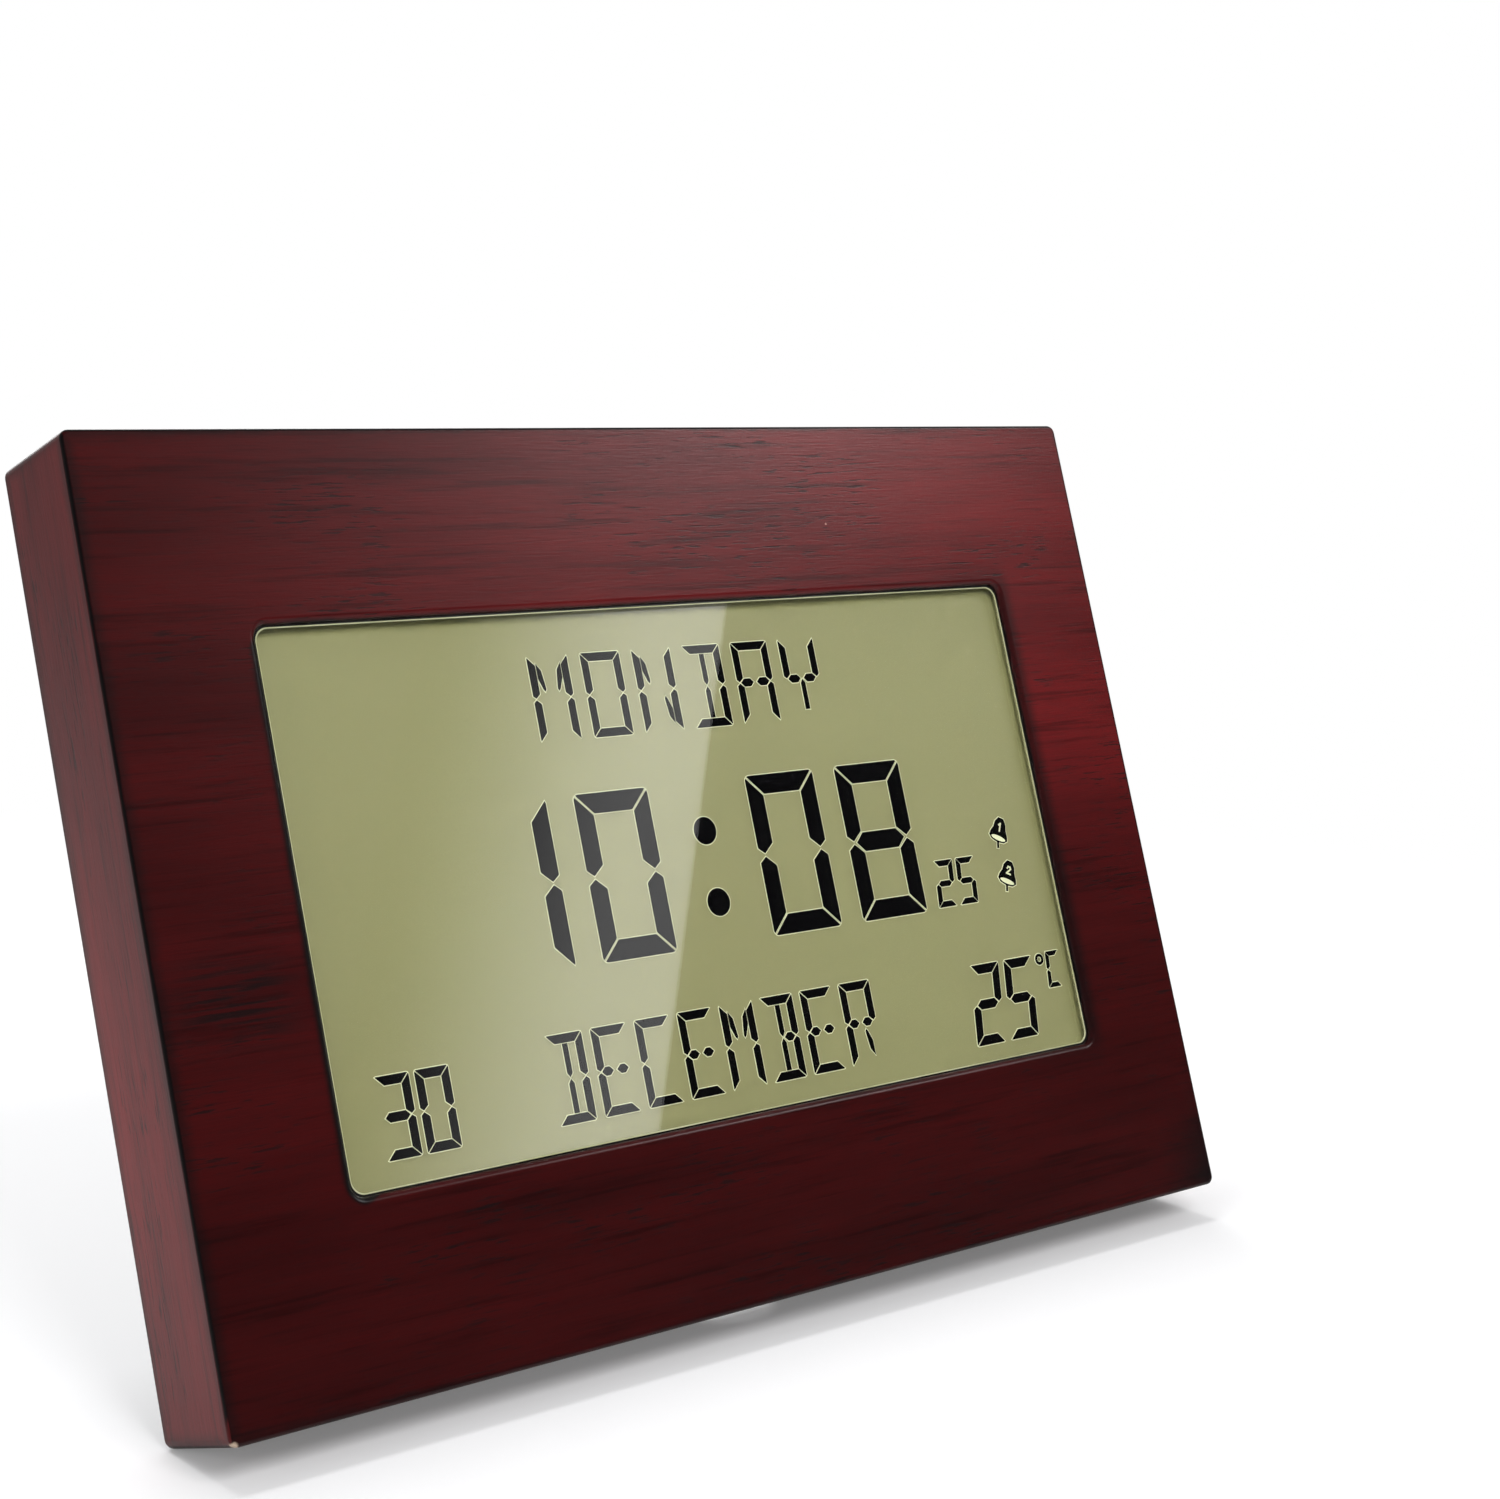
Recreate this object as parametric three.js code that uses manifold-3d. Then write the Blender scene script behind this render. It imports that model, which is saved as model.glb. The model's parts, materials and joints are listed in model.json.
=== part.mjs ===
// Digital calendar clock: a lacquered wooden case with a wide liquid crystal display, a moulded
// back cover and a folding U-shaped stand. Millimetres, +Z up, the display faces -Y.
// Inside the case the pieces are placed in the case's own frame: X to the right as seen from the
// front, Y from the face (-caseDepth) to the back plane (0), Z up the face from its middle.
import * as THREE from 'three';
import { mergeVertices } from 'three/addons/utils/BufferGeometryUtils.js';
import Module from 'manifold-3d';

const wasm = await Module();
wasm.setup();

// Clearances
const fit = 0.3;
const runningFit = 0.4;

// Wooden case
const caseWidth = 230;
const caseHeight = 165;
const caseDepth = 23.5;
const caseCornerRadius = 2;
const caseEdgeRound = 1.1;
const railThickness = 4.4;
const boardThickness = 5;
const boardLip = 2.2;

// Display window, lens and glass
const windowWidth = 173.3;
const windowHeight = 95.7;
const windowCornerRadius = 2.2;
const windowOffset = 1;
const lensFlange = 4;
const lensFlangeThickness = 0.8;
const lensRecess = 1.4;
const glassMargin = 2.2;
const glassThickness = 1.5;
const glassCornerRadius = 0.6;
const glassGap = 0.2;

// Frame that holds the glass against the board
const retainerOuterMargin = 11.3;
const retainerGrip = 3.2;
const retainerThickness = 1.3;
const retainerPegInset = 3.5;
const retainerPegRadius = 1.2;
const retainerPegLength = 2.6;
const retainerCornerRadius = 4;

// Back cover
const coverThickness = 2;
const coverWoodMargin = 1.5;
const coverWall = 1.6;
const recessDepth = 5.6;
const rampFootDrop = 12.8;
const rampTopRise = 4.2;
const rampHalfWidth = 57.6;
const railWindowHalfWidth = 49;
const thumbNotchWidth = 22.5;
const thumbNotchDepth = 7.8;
const thumbNotchReach = 3.6;
const dimpleX = 39.7;
const dimpleHeight = -2.4;
const dimpleRadius = 0.6;
const dimpleDepth = 0.7;

// Folding stand
const pivotDrop = 36.7;
const pivotInset = 2.9;
const standFootClearance = 0.8;
const standHalfWidth = 71.4;
const standLegWidth = 13.7;
const standBarHeight = 30;
const standThickness = 5;
const standOuterRadius = 28;
const standInnerRadius = 22;
const standEdgeRound = 0.5;
const standOpenAngle = THREE.MathUtils.degToRad(26);
const standHeel = 3;
const standSideGap = 1;
const slitWidth = 1.6;
const slitLength = 9;
const slitFinger = 2.4;
const pegRadius = 1.5;
const pegReach = 2.2;
const snapMouthHalf = 1.25;
const snapLip = 0.9;

// Button tray and buttons
const trayWidth = 65.5;
const trayHeight = 26.4;
const trayDrop = 27;
const trayDepth = 4.5;
const trayWallRun = 5;
const buttonNames = ['button_set', 'button_mode', 'button_up', 'button_down', 'button_alarm'];
const buttonPitch = 10;
const buttonRise = 4.8;
const buttonRadius = 2.85;
const buttonDome = 1.2;
const buttonHoleRadius = 3.3;
const buttonProtrusion = 2.2;
const buttonTravel = 0.5;
const buttonFlangeRadius = 4.2;
const buttonFlangeThickness = 0.6;
const plungerRadius = 1.5;
const plungerEntry = 1;
const switchSize = 6;

// Wall-hanging keyhole
const keyholeDrop = 17.6;
const keyholeRadius = 6;
const keyholeSlotWidth = 5.8;
const keyholeSlotDrop = 6.5;
const keyholeBoxHalfWidth = 8;
const keyholeBoxDepth = 6.4;
const keyholeWall = 1.2;

// Sounder slots and side vents
const sounderX = -41.8;
const sounderDrop = 17.2;
const sounderSlotLengths = [12, 20, 23, 20, 12];
const sounderSlotPitch = 4.6;
const slotHeight = 2.1;
const ventSideInset = 17.2;
const ventLength = 17.6;
const ventHeights = [40.5, 34.2, -29.1, -35.3];
const sounderRadius = 10.2;
const sounderRingWall = 1.4;
const sounderSeatDepth = 2.2;
const sounderThickness = 0.5;
const sounderFoamThickness = 1.4;

// Battery compartment, two AAA cells side by side
const cellRadius = 5.15;
const cellLength = 44.5;
const cellNubLength = 0.9;
const cellNubRadius = 1.9;
const cellPitch = 11;
const bayCentreHeight = -34.1;
const bayHalfLength = 26.5;
const bayWall = 1.2;
const bayFloor = 0.6;
const contactThickness = 0.4;
const contactBump = 1.6;
const coilTurns = 3;
const coilWire = 0.45;
const coilStep = 8;
const doorHalfWidth = 28.5;
const doorThickness = 1.2;
const doorMargin = 1.1;
const doorHingeRise = 0.3;
const doorTabX = 16;
const doorTabWidth = 6;
const doorTabReach = 1.2;
const doorTabThickness = 0.6;
const doorLatchHalfWidth = 5.5;
const doorLatchReach = 3.2;
const doorLatchThickness = 0.8;
const latchHalfWidth = 8.8;
const latchHeight = 8.5;
const latchDepth = 3.4;

// Circuit board and what is soldered to it
const boardHalfWidth = 38;
const boardHeight = 40;
const boardWindowInset = 4.35;
const circuitThickness = 1;
const circuitBossSideInset = 3.5;
const circuitBossEndInset = 4;
const circuitBossRadius = 3;
const circuitScrewRadius = 0.9;
const circuitScrewLength = 5.5;
const circuitScrewHeadThickness = 0.8;
const leadRadius = 0.6;
const leadPitch = 3;
const leadBossGap = 7;
const ribbonHalfWidth = 30;
const ribbonThickness = 0.3;
const ribbonTail = 5;
const chipRadius = 4.5;
const chipHeight = 1.4;
const chipClearance = 1;
const chipRise = 20.5;
const crystalRadius = 1;
const crystalLength = 6;
const crystalX = 6;
const crystalRise = 5.5;
const crystalPinLength = 2;
const capacitorRadius = 2;
const capacitorSideInsets = [18, 11.5];
const capacitorRise = 6.5;
const thermistorSideInset = 14;
const thermistorRise = 5.5;

// Screws, pins and the wooden blocks that take them
const coverScrewRadius = 1.2;
const coverScrewHeadRadius = 2;
const coverScrewLength = 9;
const coverScrewHeadThickness = 0.8;
const coverScrewSink = 0.9;
const upperScrewSideInset = 10;
const upperScrewEndInset = 7.5;
const lowerScrewSideInset = 10.5;
const lowerScrewEndInset = 11.5;
const middleScrewX = 10;
const middleScrewEndInset = 7.9;
const floorScrewEndInset = 12.2;
const floorScrewHeadRadius = 1.4;
const upperPinSideInset = 9.7;
const upperPinEndInset = 14.9;
const lowerPinSideInset = 10;
const lowerPinEndInset = 20;
const pinHeadRadius = 1;
const pinRadius = 0.5;
const pinLength = 7;
const blockWidth = 11;
const blockHeight = 18;
const floorBlockHeight = 5.4;

// Places worked out from the case's edges and from the stand's pivot
const halfWidth = caseWidth / 2;
const halfHeight = caseHeight / 2;
const innerHalfWidth = halfWidth - railThickness;
const innerHalfHeight = halfHeight - railThickness;
const pivotHeight = halfHeight - pivotDrop;
const standLength = pivotHeight + innerHalfHeight - standFootClearance;
const rampFootHeight = pivotHeight - rampFootDrop;
const rampTopHeight = pivotHeight + rampTopRise;
const trayCentreHeight = pivotHeight - trayDrop;
const buttonHeight = trayCentreHeight + buttonRise;
const keyholeHeight = halfHeight - keyholeDrop;
const keyholeSlotTop = halfHeight - keyholeSlotDrop;
const sounderHeight = halfHeight - sounderDrop;
const ventX = halfWidth - ventSideInset;
const boardTop = windowHeight / 2 - boardWindowInset;
const boardBottom = boardTop - boardHeight;
const circuitBossX = boardHalfWidth - circuitBossSideInset;
const circuitBossHeights = [boardBottom + circuitBossEndInset, boardTop - circuitBossEndInset];
const floorScrewHeight = floorScrewEndInset - halfHeight;
const coverScrewPlaces = [
  [halfWidth - upperScrewSideInset, halfHeight - upperScrewEndInset],
  [upperScrewSideInset - halfWidth, halfHeight - upperScrewEndInset],
  [halfWidth - lowerScrewSideInset, lowerScrewEndInset - halfHeight],
  [lowerScrewSideInset - halfWidth, lowerScrewEndInset - halfHeight],
  [middleScrewX, halfHeight - middleScrewEndInset],
];
const pinPlaces = [
  [halfWidth - upperPinSideInset, halfHeight - upperPinEndInset],
  [upperPinSideInset - halfWidth, halfHeight - upperPinEndInset],
  [halfWidth - lowerPinSideInset, lowerPinEndInset - halfHeight],
  [lowerPinSideInset - halfWidth, lowerPinEndInset - halfHeight],
];

// Derived planes, all measured along Y in the case's frame
const facePlane = -caseDepth;
const boardBack = facePlane + boardThickness;
const lipInner = facePlane + boardLip;
const lensFlangeFront = lipInner + fit;
const lensFlangeBack = lensFlangeFront + lensFlangeThickness;
const glassFront = lensFlangeBack + glassGap;
const glassBack = glassFront + glassThickness;
const retainerFront = Math.max(boardBack, glassBack) + fit;
const retainerBack = retainerFront + retainerThickness;
const recessFloor = -recessDepth;
const floorInner = recessFloor - coverWall;
const scoopInner = -thumbNotchDepth - coverWall;
const trayFloor = recessFloor - trayDepth;
const trayInner = trayFloor - coverWall;
const boardFront = retainerBack;
const circuitBack = boardFront + circuitThickness;
const partSeat = circuitBack + fit;
const flangeBack = trayInner - fit;
const flangeFront = flangeBack - buttonFlangeThickness;
const switchBack = flangeFront - buttonTravel - fit;
const plungerEnd = switchBack - plungerEntry;
const coverWidth = caseWidth - 2 * (coverWoodMargin + fit);
const coverHeight = caseHeight - 2 * (coverWoodMargin + fit);
const rebateFloor = -coverThickness - fit;
const legCentre = standHalfWidth - standLegWidth / 2;
const recessHalfWidth = standHalfWidth + standSideGap;
const recessBottom = pivotHeight - standLength - standSideGap;
const bayHalfHeight = cellPitch + 0.2;
const bayTop = bayCentreHeight + bayHalfHeight;
const bayBottom = bayCentreHeight - bayHalfHeight;
const doorTop = bayTop + doorMargin;
const doorBottom = bayBottom - doorMargin;
const doorInner = recessFloor - doorThickness;
const doorHingeDepth = recessFloor - doorHingeRise;
const cellAxisDepth = doorInner - fit / 2 - cellRadius;
const bayFloorPlane = cellAxisDepth - cellRadius - fit / 2;
const cellShift = bayHalfLength - contactThickness - contactBump - 2 * fit - cellLength / 2;
const coilLength = bayHalfLength - contactThickness - (cellLength / 2 - cellShift) - 2 * fit;
const leadDepth = cellAxisDepth + cellRadius / 2;

// The lean of the case follows from the stand: with the stand open, the rounded lower back edge
// of the case and the stand's foot touch the same table.
const pivotToEdge = pivotHeight + halfHeight;
const sideLever = standLength * Math.sin(standOpenAngle) - (pivotInset - caseEdgeRound);
const heightLever = standLength * Math.cos(standOpenAngle) - (pivotToEdge - caseEdgeRound);
const caseLean = Math.atan2(sideLever, heightLever)
  - Math.acos(caseEdgeRound / Math.hypot(sideLever, heightLever));
const caseLift = (halfHeight - caseEdgeRound) * Math.cos(caseLean)
  - caseEdgeRound * Math.sin(caseLean) + caseEdgeRound;
const standTilt = standOpenAngle - caseLean;
const footOverhang = standThickness / 2 * Math.tan(standTilt) + standEdgeRound;

// Finishes
const finish = (color, roughness, metalness = 0) =>
  new THREE.MeshStandardMaterial({ color, roughness, metalness });
const mahogany = finish(0x6a2020, 0.35);
const rawWood = finish(0xb08a5e, 0.8);
const clearPlastic = finish(0xd8dcc8, 0.05);
const displayGlass = finish(0x98996c, 0.2);
const blackPlastic = finish(0x2a2826, 0.6);
const greyPlastic = finish(0xb9b9b4, 0.6);
const standPlastic = finish(0x5f5848, 0.55);
const steel = finish(0xb8b8b8, 0.3, 1);
const darkSteel = finish(0x2c2c2c, 0.4, 1);
const chrome = finish(0xc8c8c8, 0.2, 1);
const brass = finish(0xc8a04a, 0.3, 1);
const cellJacket = finish(0x3c6aa0, 0.4);
const circuitGreen = finish(0x2f6b3c, 0.5);
const epoxy = finish(0x151515, 0.35);
const foam = finish(0x3a3a3a, 0.95);
const redLead = finish(0xa02020, 0.5);
const ribbonFilm = finish(0xc89a50, 0.45);

// Solids from three.js geometry
function solidFrom(geometry) {
  geometry.deleteAttribute('normal');
  geometry.deleteAttribute('uv');
  const merged = mergeVertices(geometry);
  return new wasm.Manifold(new wasm.Mesh({
    numProp: 3,
    vertProperties: new Float32Array(merged.attributes.position.array),
    triVerts: new Uint32Array(merged.index.array),
  }));
}

function box(xFrom, xTo, yFrom, yTo, zFrom, zTo) {
  const geometry = new THREE.BoxGeometry(xTo - xFrom, yTo - yFrom, zTo - zFrom);
  geometry.translate((xFrom + xTo) / 2, (yFrom + yTo) / 2, (zFrom + zTo) / 2);
  return solidFrom(geometry);
}

// A round bar along Y
function roundY(radius, yFrom, yTo, x, z, sides = 20) {
  const geometry = new THREE.CylinderGeometry(radius, radius, yTo - yFrom, sides);
  geometry.translate(x, (yFrom + yTo) / 2, z);
  return solidFrom(geometry);
}

// A round bar along X
function roundX(radius, xFrom, xTo, y, z, sides = 20) {
  const geometry = new THREE.CylinderGeometry(radius, radius, xTo - xFrom, sides);
  geometry.rotateZ(Math.PI / 2);
  geometry.translate((xFrom + xTo) / 2, y, z);
  return solidFrom(geometry);
}

// An outline seen from the front, given thickness along Y
function slab(shape, yFrom, yTo, arcSteps = 2) {
  const settings = { depth: yTo - yFrom, bevelEnabled: false, curveSegments: arcSteps };
  const geometry = new THREE.ExtrudeGeometry(shape, settings);
  geometry.rotateX(Math.PI / 2);
  geometry.translate(0, yTo, 0);
  return solidFrom(geometry);
}

// The same with its edges rounded at both ends
function softSlab(shape, yFrom, yTo, round, arcSteps = 2, roundSteps = 2) {
  const settings = {
    depth: yTo - yFrom - 2 * round,
    bevelEnabled: true,
    bevelThickness: round,
    bevelSize: round,
    bevelOffset: -round,
    bevelSegments: roundSteps,
    curveSegments: arcSteps,
  };
  const geometry = new THREE.ExtrudeGeometry(shape, settings);
  geometry.rotateX(Math.PI / 2);
  geometry.translate(0, yTo - round, 0);
  return solidFrom(geometry);
}

// An outline in the Y-Z plane, given thickness along X
function sideSlab(shape, xFrom, xTo, arcSteps = 4) {
  const settings = { depth: xTo - xFrom, bevelEnabled: false, curveSegments: arcSteps };
  const geometry = new THREE.ExtrudeGeometry(shape, settings);
  const turn = new THREE.Matrix4().makeBasis(
    new THREE.Vector3(0, 1, 0), new THREE.Vector3(0, 0, 1), new THREE.Vector3(1, 0, 0));
  geometry.applyMatrix4(turn);
  geometry.translate(xFrom, 0, 0);
  return solidFrom(geometry);
}

// A profile of [radius, height] points turned round the Y axis, then moved to its place
function turned(profile, x, y, z, sides = 24) {
  const points = profile.map(([radius, height]) => new THREE.Vector2(radius, height));
  const geometry = new THREE.LatheGeometry(points, sides);
  geometry.translate(x, y, z);
  return solidFrom(geometry);
}

function polygon(points) {
  return new THREE.Shape(points.map(([u, v]) => new THREE.Vector2(u, v)));
}

function roundedRectangle(width, height, radius, x = 0, z = 0) {
  const reach = width / 2 - radius;
  const rise = height / 2 - radius;
  const shape = new THREE.Shape();
  shape.absarc(x + reach, z - rise, radius, -Math.PI / 2, 0);
  shape.absarc(x + reach, z + rise, radius, 0, Math.PI / 2);
  shape.absarc(x - reach, z + rise, radius, Math.PI / 2, Math.PI);
  shape.absarc(x - reach, z - rise, radius, Math.PI, Math.PI * 1.5);
  return shape;
}

function joined(parts) {
  return parts.reduce((whole, piece) => whole.add(piece));
}

// Turns a solid by an angle round the X axis
function tipped(solid, angle) {
  const matrix = new THREE.Matrix4().makeRotationX(angle);
  return solid.transform(matrix.elements);
}

const clock = new THREE.Group();
const caseGroup = new THREE.Group();
caseGroup.rotation.x = -caseLean;
caseGroup.position.z = caseLift;
clock.add(caseGroup);

function addPiece(name, solid, material, parent = caseGroup) {
  const mesh = solid.getMesh();
  const geometry = new THREE.BufferGeometry();
  const positions = new Float32Array(mesh.vertProperties);
  geometry.setAttribute('position', new THREE.BufferAttribute(positions, 3));
  geometry.setIndex(new THREE.BufferAttribute(new Uint32Array(mesh.triVerts), 1));
  const piece = new THREE.Mesh(geometry, material);
  piece.name = name;
  parent.add(piece);
  return piece;
}

function addSeries(prefix, solids, material) {
  solids.forEach((solid, index) => addPiece(`${prefix}_${index + 1}`, solid, material));
}

// Wooden case: a front board with its window, and four mitred rails behind it
function buildFrontBoard() {
  const outline = roundedRectangle(caseWidth, caseHeight, caseCornerRadius);
  outline.holes.push(roundedRectangle(
    windowWidth, windowHeight, windowCornerRadius, windowOffset));
  const beyond = boardThickness + 2 * caseEdgeRound;
  const rounded = softSlab(outline, facePlane, facePlane + beyond, caseEdgeRound);
  const backCut = box(-caseWidth, caseWidth, boardBack, boardBack + beyond, -caseHeight, caseHeight);
  const pocketGrow = 2 * (lensFlange + fit);
  const pocketShape = roundedRectangle(
    windowWidth + pocketGrow, windowHeight + pocketGrow, windowCornerRadius, windowOffset);
  const pocket = slab(pocketShape, lipInner, boardBack + 1);
  const pegHoles = retainerPegPlaces().map(([x, z]) =>
    roundY(retainerPegRadius + fit, boardBack - retainerPegLength - fit, boardBack + 1, x, z, 10));
  return rounded.subtract(backCut).subtract(pocket).subtract(joined(pegHoles));
}

function railRing() {
  const frontBevel = caseEdgeRound + 1;
  const outline = roundedRectangle(caseWidth, caseHeight, caseCornerRadius);
  const block = softSlab(outline, boardBack - frontBevel, 0, caseEdgeRound);
  const trimmed = block.subtract(box(
    -caseWidth, caseWidth, boardBack - 2 * frontBevel, boardBack + fit, -caseHeight, caseHeight));
  const hollow = box(
    -innerHalfWidth, innerHalfWidth, boardBack, 1, -innerHalfHeight, innerHalfHeight);
  return trimmed.subtract(hollow);
}

function coverRebate() {
  const outline = roundedRectangle(coverWidth + 2 * fit, coverHeight + 2 * fit, 1);
  return slab(outline, rebateFloor, 1);
}

// Mitre sectors of the case: the corner planes run at 45 degrees from each corner
function mitreSector(side) {
  const gap = fit / Math.SQRT2;
  const reach = halfHeight / 2;
  const upright = side === 'left' || side === 'right';
  const points = upright
    ? [[halfWidth - gap + 5, halfHeight - 2 * gap + 5], [halfWidth - reach, halfHeight - reach - gap],
      [halfWidth - reach, gap + reach - halfHeight], [halfWidth - gap + 5, 2 * gap - halfHeight - 5]]
    : [[halfWidth + 5, halfHeight + 5], [-halfWidth - 5, halfHeight + 5],
      [reach - halfWidth, halfHeight - reach], [halfWidth - reach, halfHeight - reach]];
  const flip = side === 'left' || side === 'bottom' ? -1 : 1;
  const placed = points.map(([x, z]) => [flip * x, flip * z]);
  return slab(polygon(placed), boardBack - 1, 1);
}

function thumbNotch() {
  const halfEllipse = new THREE.Shape();
  halfEllipse.absellipse(0, 0, thumbNotchWidth / 2, thumbNotchDepth, Math.PI, 2 * Math.PI, false, 0);
  halfEllipse.lineTo(thumbNotchWidth / 2, 1);
  halfEllipse.lineTo(-thumbNotchWidth / 2, 1);
  const length = railThickness + thumbNotchReach + 1;
  const settings = { depth: length, bevelEnabled: false, curveSegments: 10 };
  const geometry = new THREE.ExtrudeGeometry(halfEllipse, settings);
  geometry.translate(0, 0, -halfHeight - 1);
  return solidFrom(geometry);
}

function buildRails() {
  const ring = railRing();
  const rebate = coverRebate();
  const windowKeep = box(
    -railWindowHalfWidth, railWindowHalfWidth, rebateFloor - 1, 2, -caseHeight, -innerHalfHeight + 1);
  const rebated = ring.subtract(rebate);
  addPiece('top_rail', rebated.intersect(mitreSector('top')), mahogany);
  addPiece('left_rail', rebated.intersect(mitreSector('left')), mahogany);
  addPiece('right_rail', rebated.intersect(mitreSector('right')), mahogany);
  const bottom = ring.subtract(rebate.subtract(windowKeep)).intersect(mitreSector('bottom'));
  addPiece('bottom_rail', bottom.subtract(thumbNotch()), mahogany);
}

// Wooden blocks glued in the corners and on the board, for the cover's screws
function buildScrewBlocks() {
  const blocks = [];
  const outer = innerHalfWidth - fit;
  const far = innerHalfHeight - fit;
  const front = boardBack + fit;
  for (const side of [-1, 1]) {
    for (const end of [-1, 1]) {
      const x = [side * outer, side * (outer - blockWidth)].sort((a, b) => a - b);
      const z = [end * far, end * (far - blockHeight)].sort((a, b) => a - b);
      blocks.push(box(x[0], x[1], front, rebateFloor, z[0], z[1]));
    }
  }
  const topBlockLeft = keyholeBoxHalfWidth + keyholeWall + fit;
  blocks.push(box(
    topBlockLeft, middleScrewX + blockWidth / 2, front, rebateFloor, far - blockWidth / 2, far));
  blocks.push(box(-blockWidth / 2, blockWidth / 2, front, scoopInner - fit,
    floorScrewHeight - floorBlockHeight / 2, floorScrewHeight + floorBlockHeight / 2));
  const bores = coverScrewPlaces.map(([x, z]) => coverScrewBore(x, z, 0));
  bores.push(coverScrewBore(0, floorScrewHeight, recessFloor));
  for (const [x, z] of pinPlaces) {
    bores.push(roundY(pinRadius + fit, -pinLength - fit, 0, x, z, 10));
  }
  const allBores = joined(bores);
  return blocks.map((block) => block.subtract(allBores));
}

function coverScrewBore(x, z, surface) {
  const deep = surface - coverScrewLength - fit;
  return roundY(coverScrewRadius + fit, deep, surface + 1, x, z, 12);
}

// A pan-head screw along Y, its head towards the back, with a cross recess
function screw(x, z, headTop, headRadius, headThickness, shankRadius, length, facing = 1) {
  const head = roundY(headRadius, -headThickness, 0, 0, 0, 12);
  const shank = roundY(shankRadius, -length, -headThickness / 2, 0, 0, 8);
  const arm = headRadius * 0.6;
  const slot = headRadius * 0.16;
  const slotDepth = headThickness * 0.5;
  const cross = box(-arm, arm, -slotDepth, 1, -slot, slot)
    .add(box(-slot, slot, -slotDepth, 1, -arm, arm));
  const whole = head.add(shank).subtract(cross);
  const turnedRound = facing > 0 ? whole : tipped(whole, Math.PI);
  return turnedRound.translate([x, headTop, z]);
}

function buildCoverScrews() {
  const screws = coverScrewPlaces.map(([x, z]) => screw(
    x, z, -coverScrewSink + coverScrewHeadThickness / 2, coverScrewHeadRadius,
    coverScrewHeadThickness, coverScrewRadius, coverScrewLength - 1));
  screws.push(screw(
    0, floorScrewHeight, recessFloor - coverScrewSink + coverScrewHeadThickness / 2,
    floorScrewHeadRadius, coverScrewHeadThickness, coverScrewRadius, coverScrewLength - 1));
  return screws;
}

function buildCoverPins() {
  return pinPlaces.map(([x, z]) => {
    const head = turned([[0, -0.4], [pinHeadRadius, -0.4], [pinHeadRadius, -0.15],
      [pinHeadRadius * 0.7, 0.05], [0, 0.15]], x, 0, z, 10);
    return head.add(roundY(pinRadius, -pinLength, -0.2, x, z, 8));
  });
}

// Window lens: a clear plate with a raised step that fills the window from behind
function buildLens() {
  const flangeShape = roundedRectangle(
    windowWidth + 2 * lensFlange, windowHeight + 2 * lensFlange, windowCornerRadius, windowOffset);
  const stepShape = roundedRectangle(
    windowWidth - 2 * fit, windowHeight - 2 * fit, windowCornerRadius - fit, windowOffset);
  const flange = slab(flangeShape, lensFlangeFront, lensFlangeBack);
  const step = slab(stepShape, facePlane + lensRecess, lensFlangeBack - lensFlangeThickness / 2);
  return flange.add(step);
}

function buildGlass() {
  const shape = roundedRectangle(
    windowWidth + 2 * glassMargin, windowHeight + 2 * glassMargin, glassCornerRadius, windowOffset);
  return slab(shape, glassFront, glassBack, 1);
}

function retainerPegPlaces() {
  const reach = windowWidth / 2 + retainerOuterMargin - retainerPegInset;
  const z = windowHeight / 2 + retainerOuterMargin - retainerPegInset;
  return [-reach, 0, reach].flatMap((x) => [[windowOffset + x, z], [windowOffset + x, -z]]);
}

// The retainer's moulded pegs stand in blind holes in the board
function buildRetainer() {
  const outline = roundedRectangle(
    windowWidth + 2 * retainerOuterMargin, windowHeight + 2 * retainerOuterMargin,
    retainerCornerRadius, windowOffset);
  const grip = glassMargin - retainerGrip + fit;
  outline.holes.push(roundedRectangle(
    windowWidth + 2 * grip, windowHeight + 2 * grip, retainerCornerRadius / 2, windowOffset));
  const pegs = retainerPegPlaces().map(([x, z]) =>
    roundY(retainerPegRadius, boardBack - retainerPegLength, retainerBack - fit, x, z, 10));
  return slab(outline, retainerFront, retainerBack).add(joined(pegs));
}

// Back cover: the recess for the folded stand, with its sloped head and snap pockets
function recessForm(grow, yTop) {
  const depth = recessFloor - grow;
  const half = recessHalfWidth + grow;
  const bottom = recessBottom - grow;
  const radius = standOuterRadius + standSideGap + grow;
  const area = new THREE.Shape();
  area.absarc(half - radius, bottom + radius, radius, -Math.PI / 2, 0);
  area.lineTo(half, rampFootHeight);
  area.lineTo(-half, rampFootHeight);
  area.absarc(-half + radius, bottom + radius, radius, Math.PI, Math.PI * 1.5);
  const slope = (rampTopHeight - rampFootHeight) / recessDepth;
  const ramp = polygon([
    [yTop, rampFootHeight - 1], [depth, rampFootHeight - 1], [depth, rampFootHeight],
    [-grow, rampTopHeight], [yTop, rampTopHeight + (yTop + grow) * slope]]);
  const pieces = [
    slab(area, depth, yTop, 6),
    sideSlab(ramp, -rampHalfWidth - grow, rampHalfWidth + grow),
  ];
  for (const side of [-1, 1]) {
    pieces.push(legChannel(side * legCentre, grow, yTop));
  }
  return joined(pieces).intersect(upTo(yTop));
}

// Everything in front of a plane across Y
function upTo(yTop) {
  return box(-caseWidth, caseWidth, -caseDepth, yTop, -caseHeight, caseHeight);
}

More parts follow.
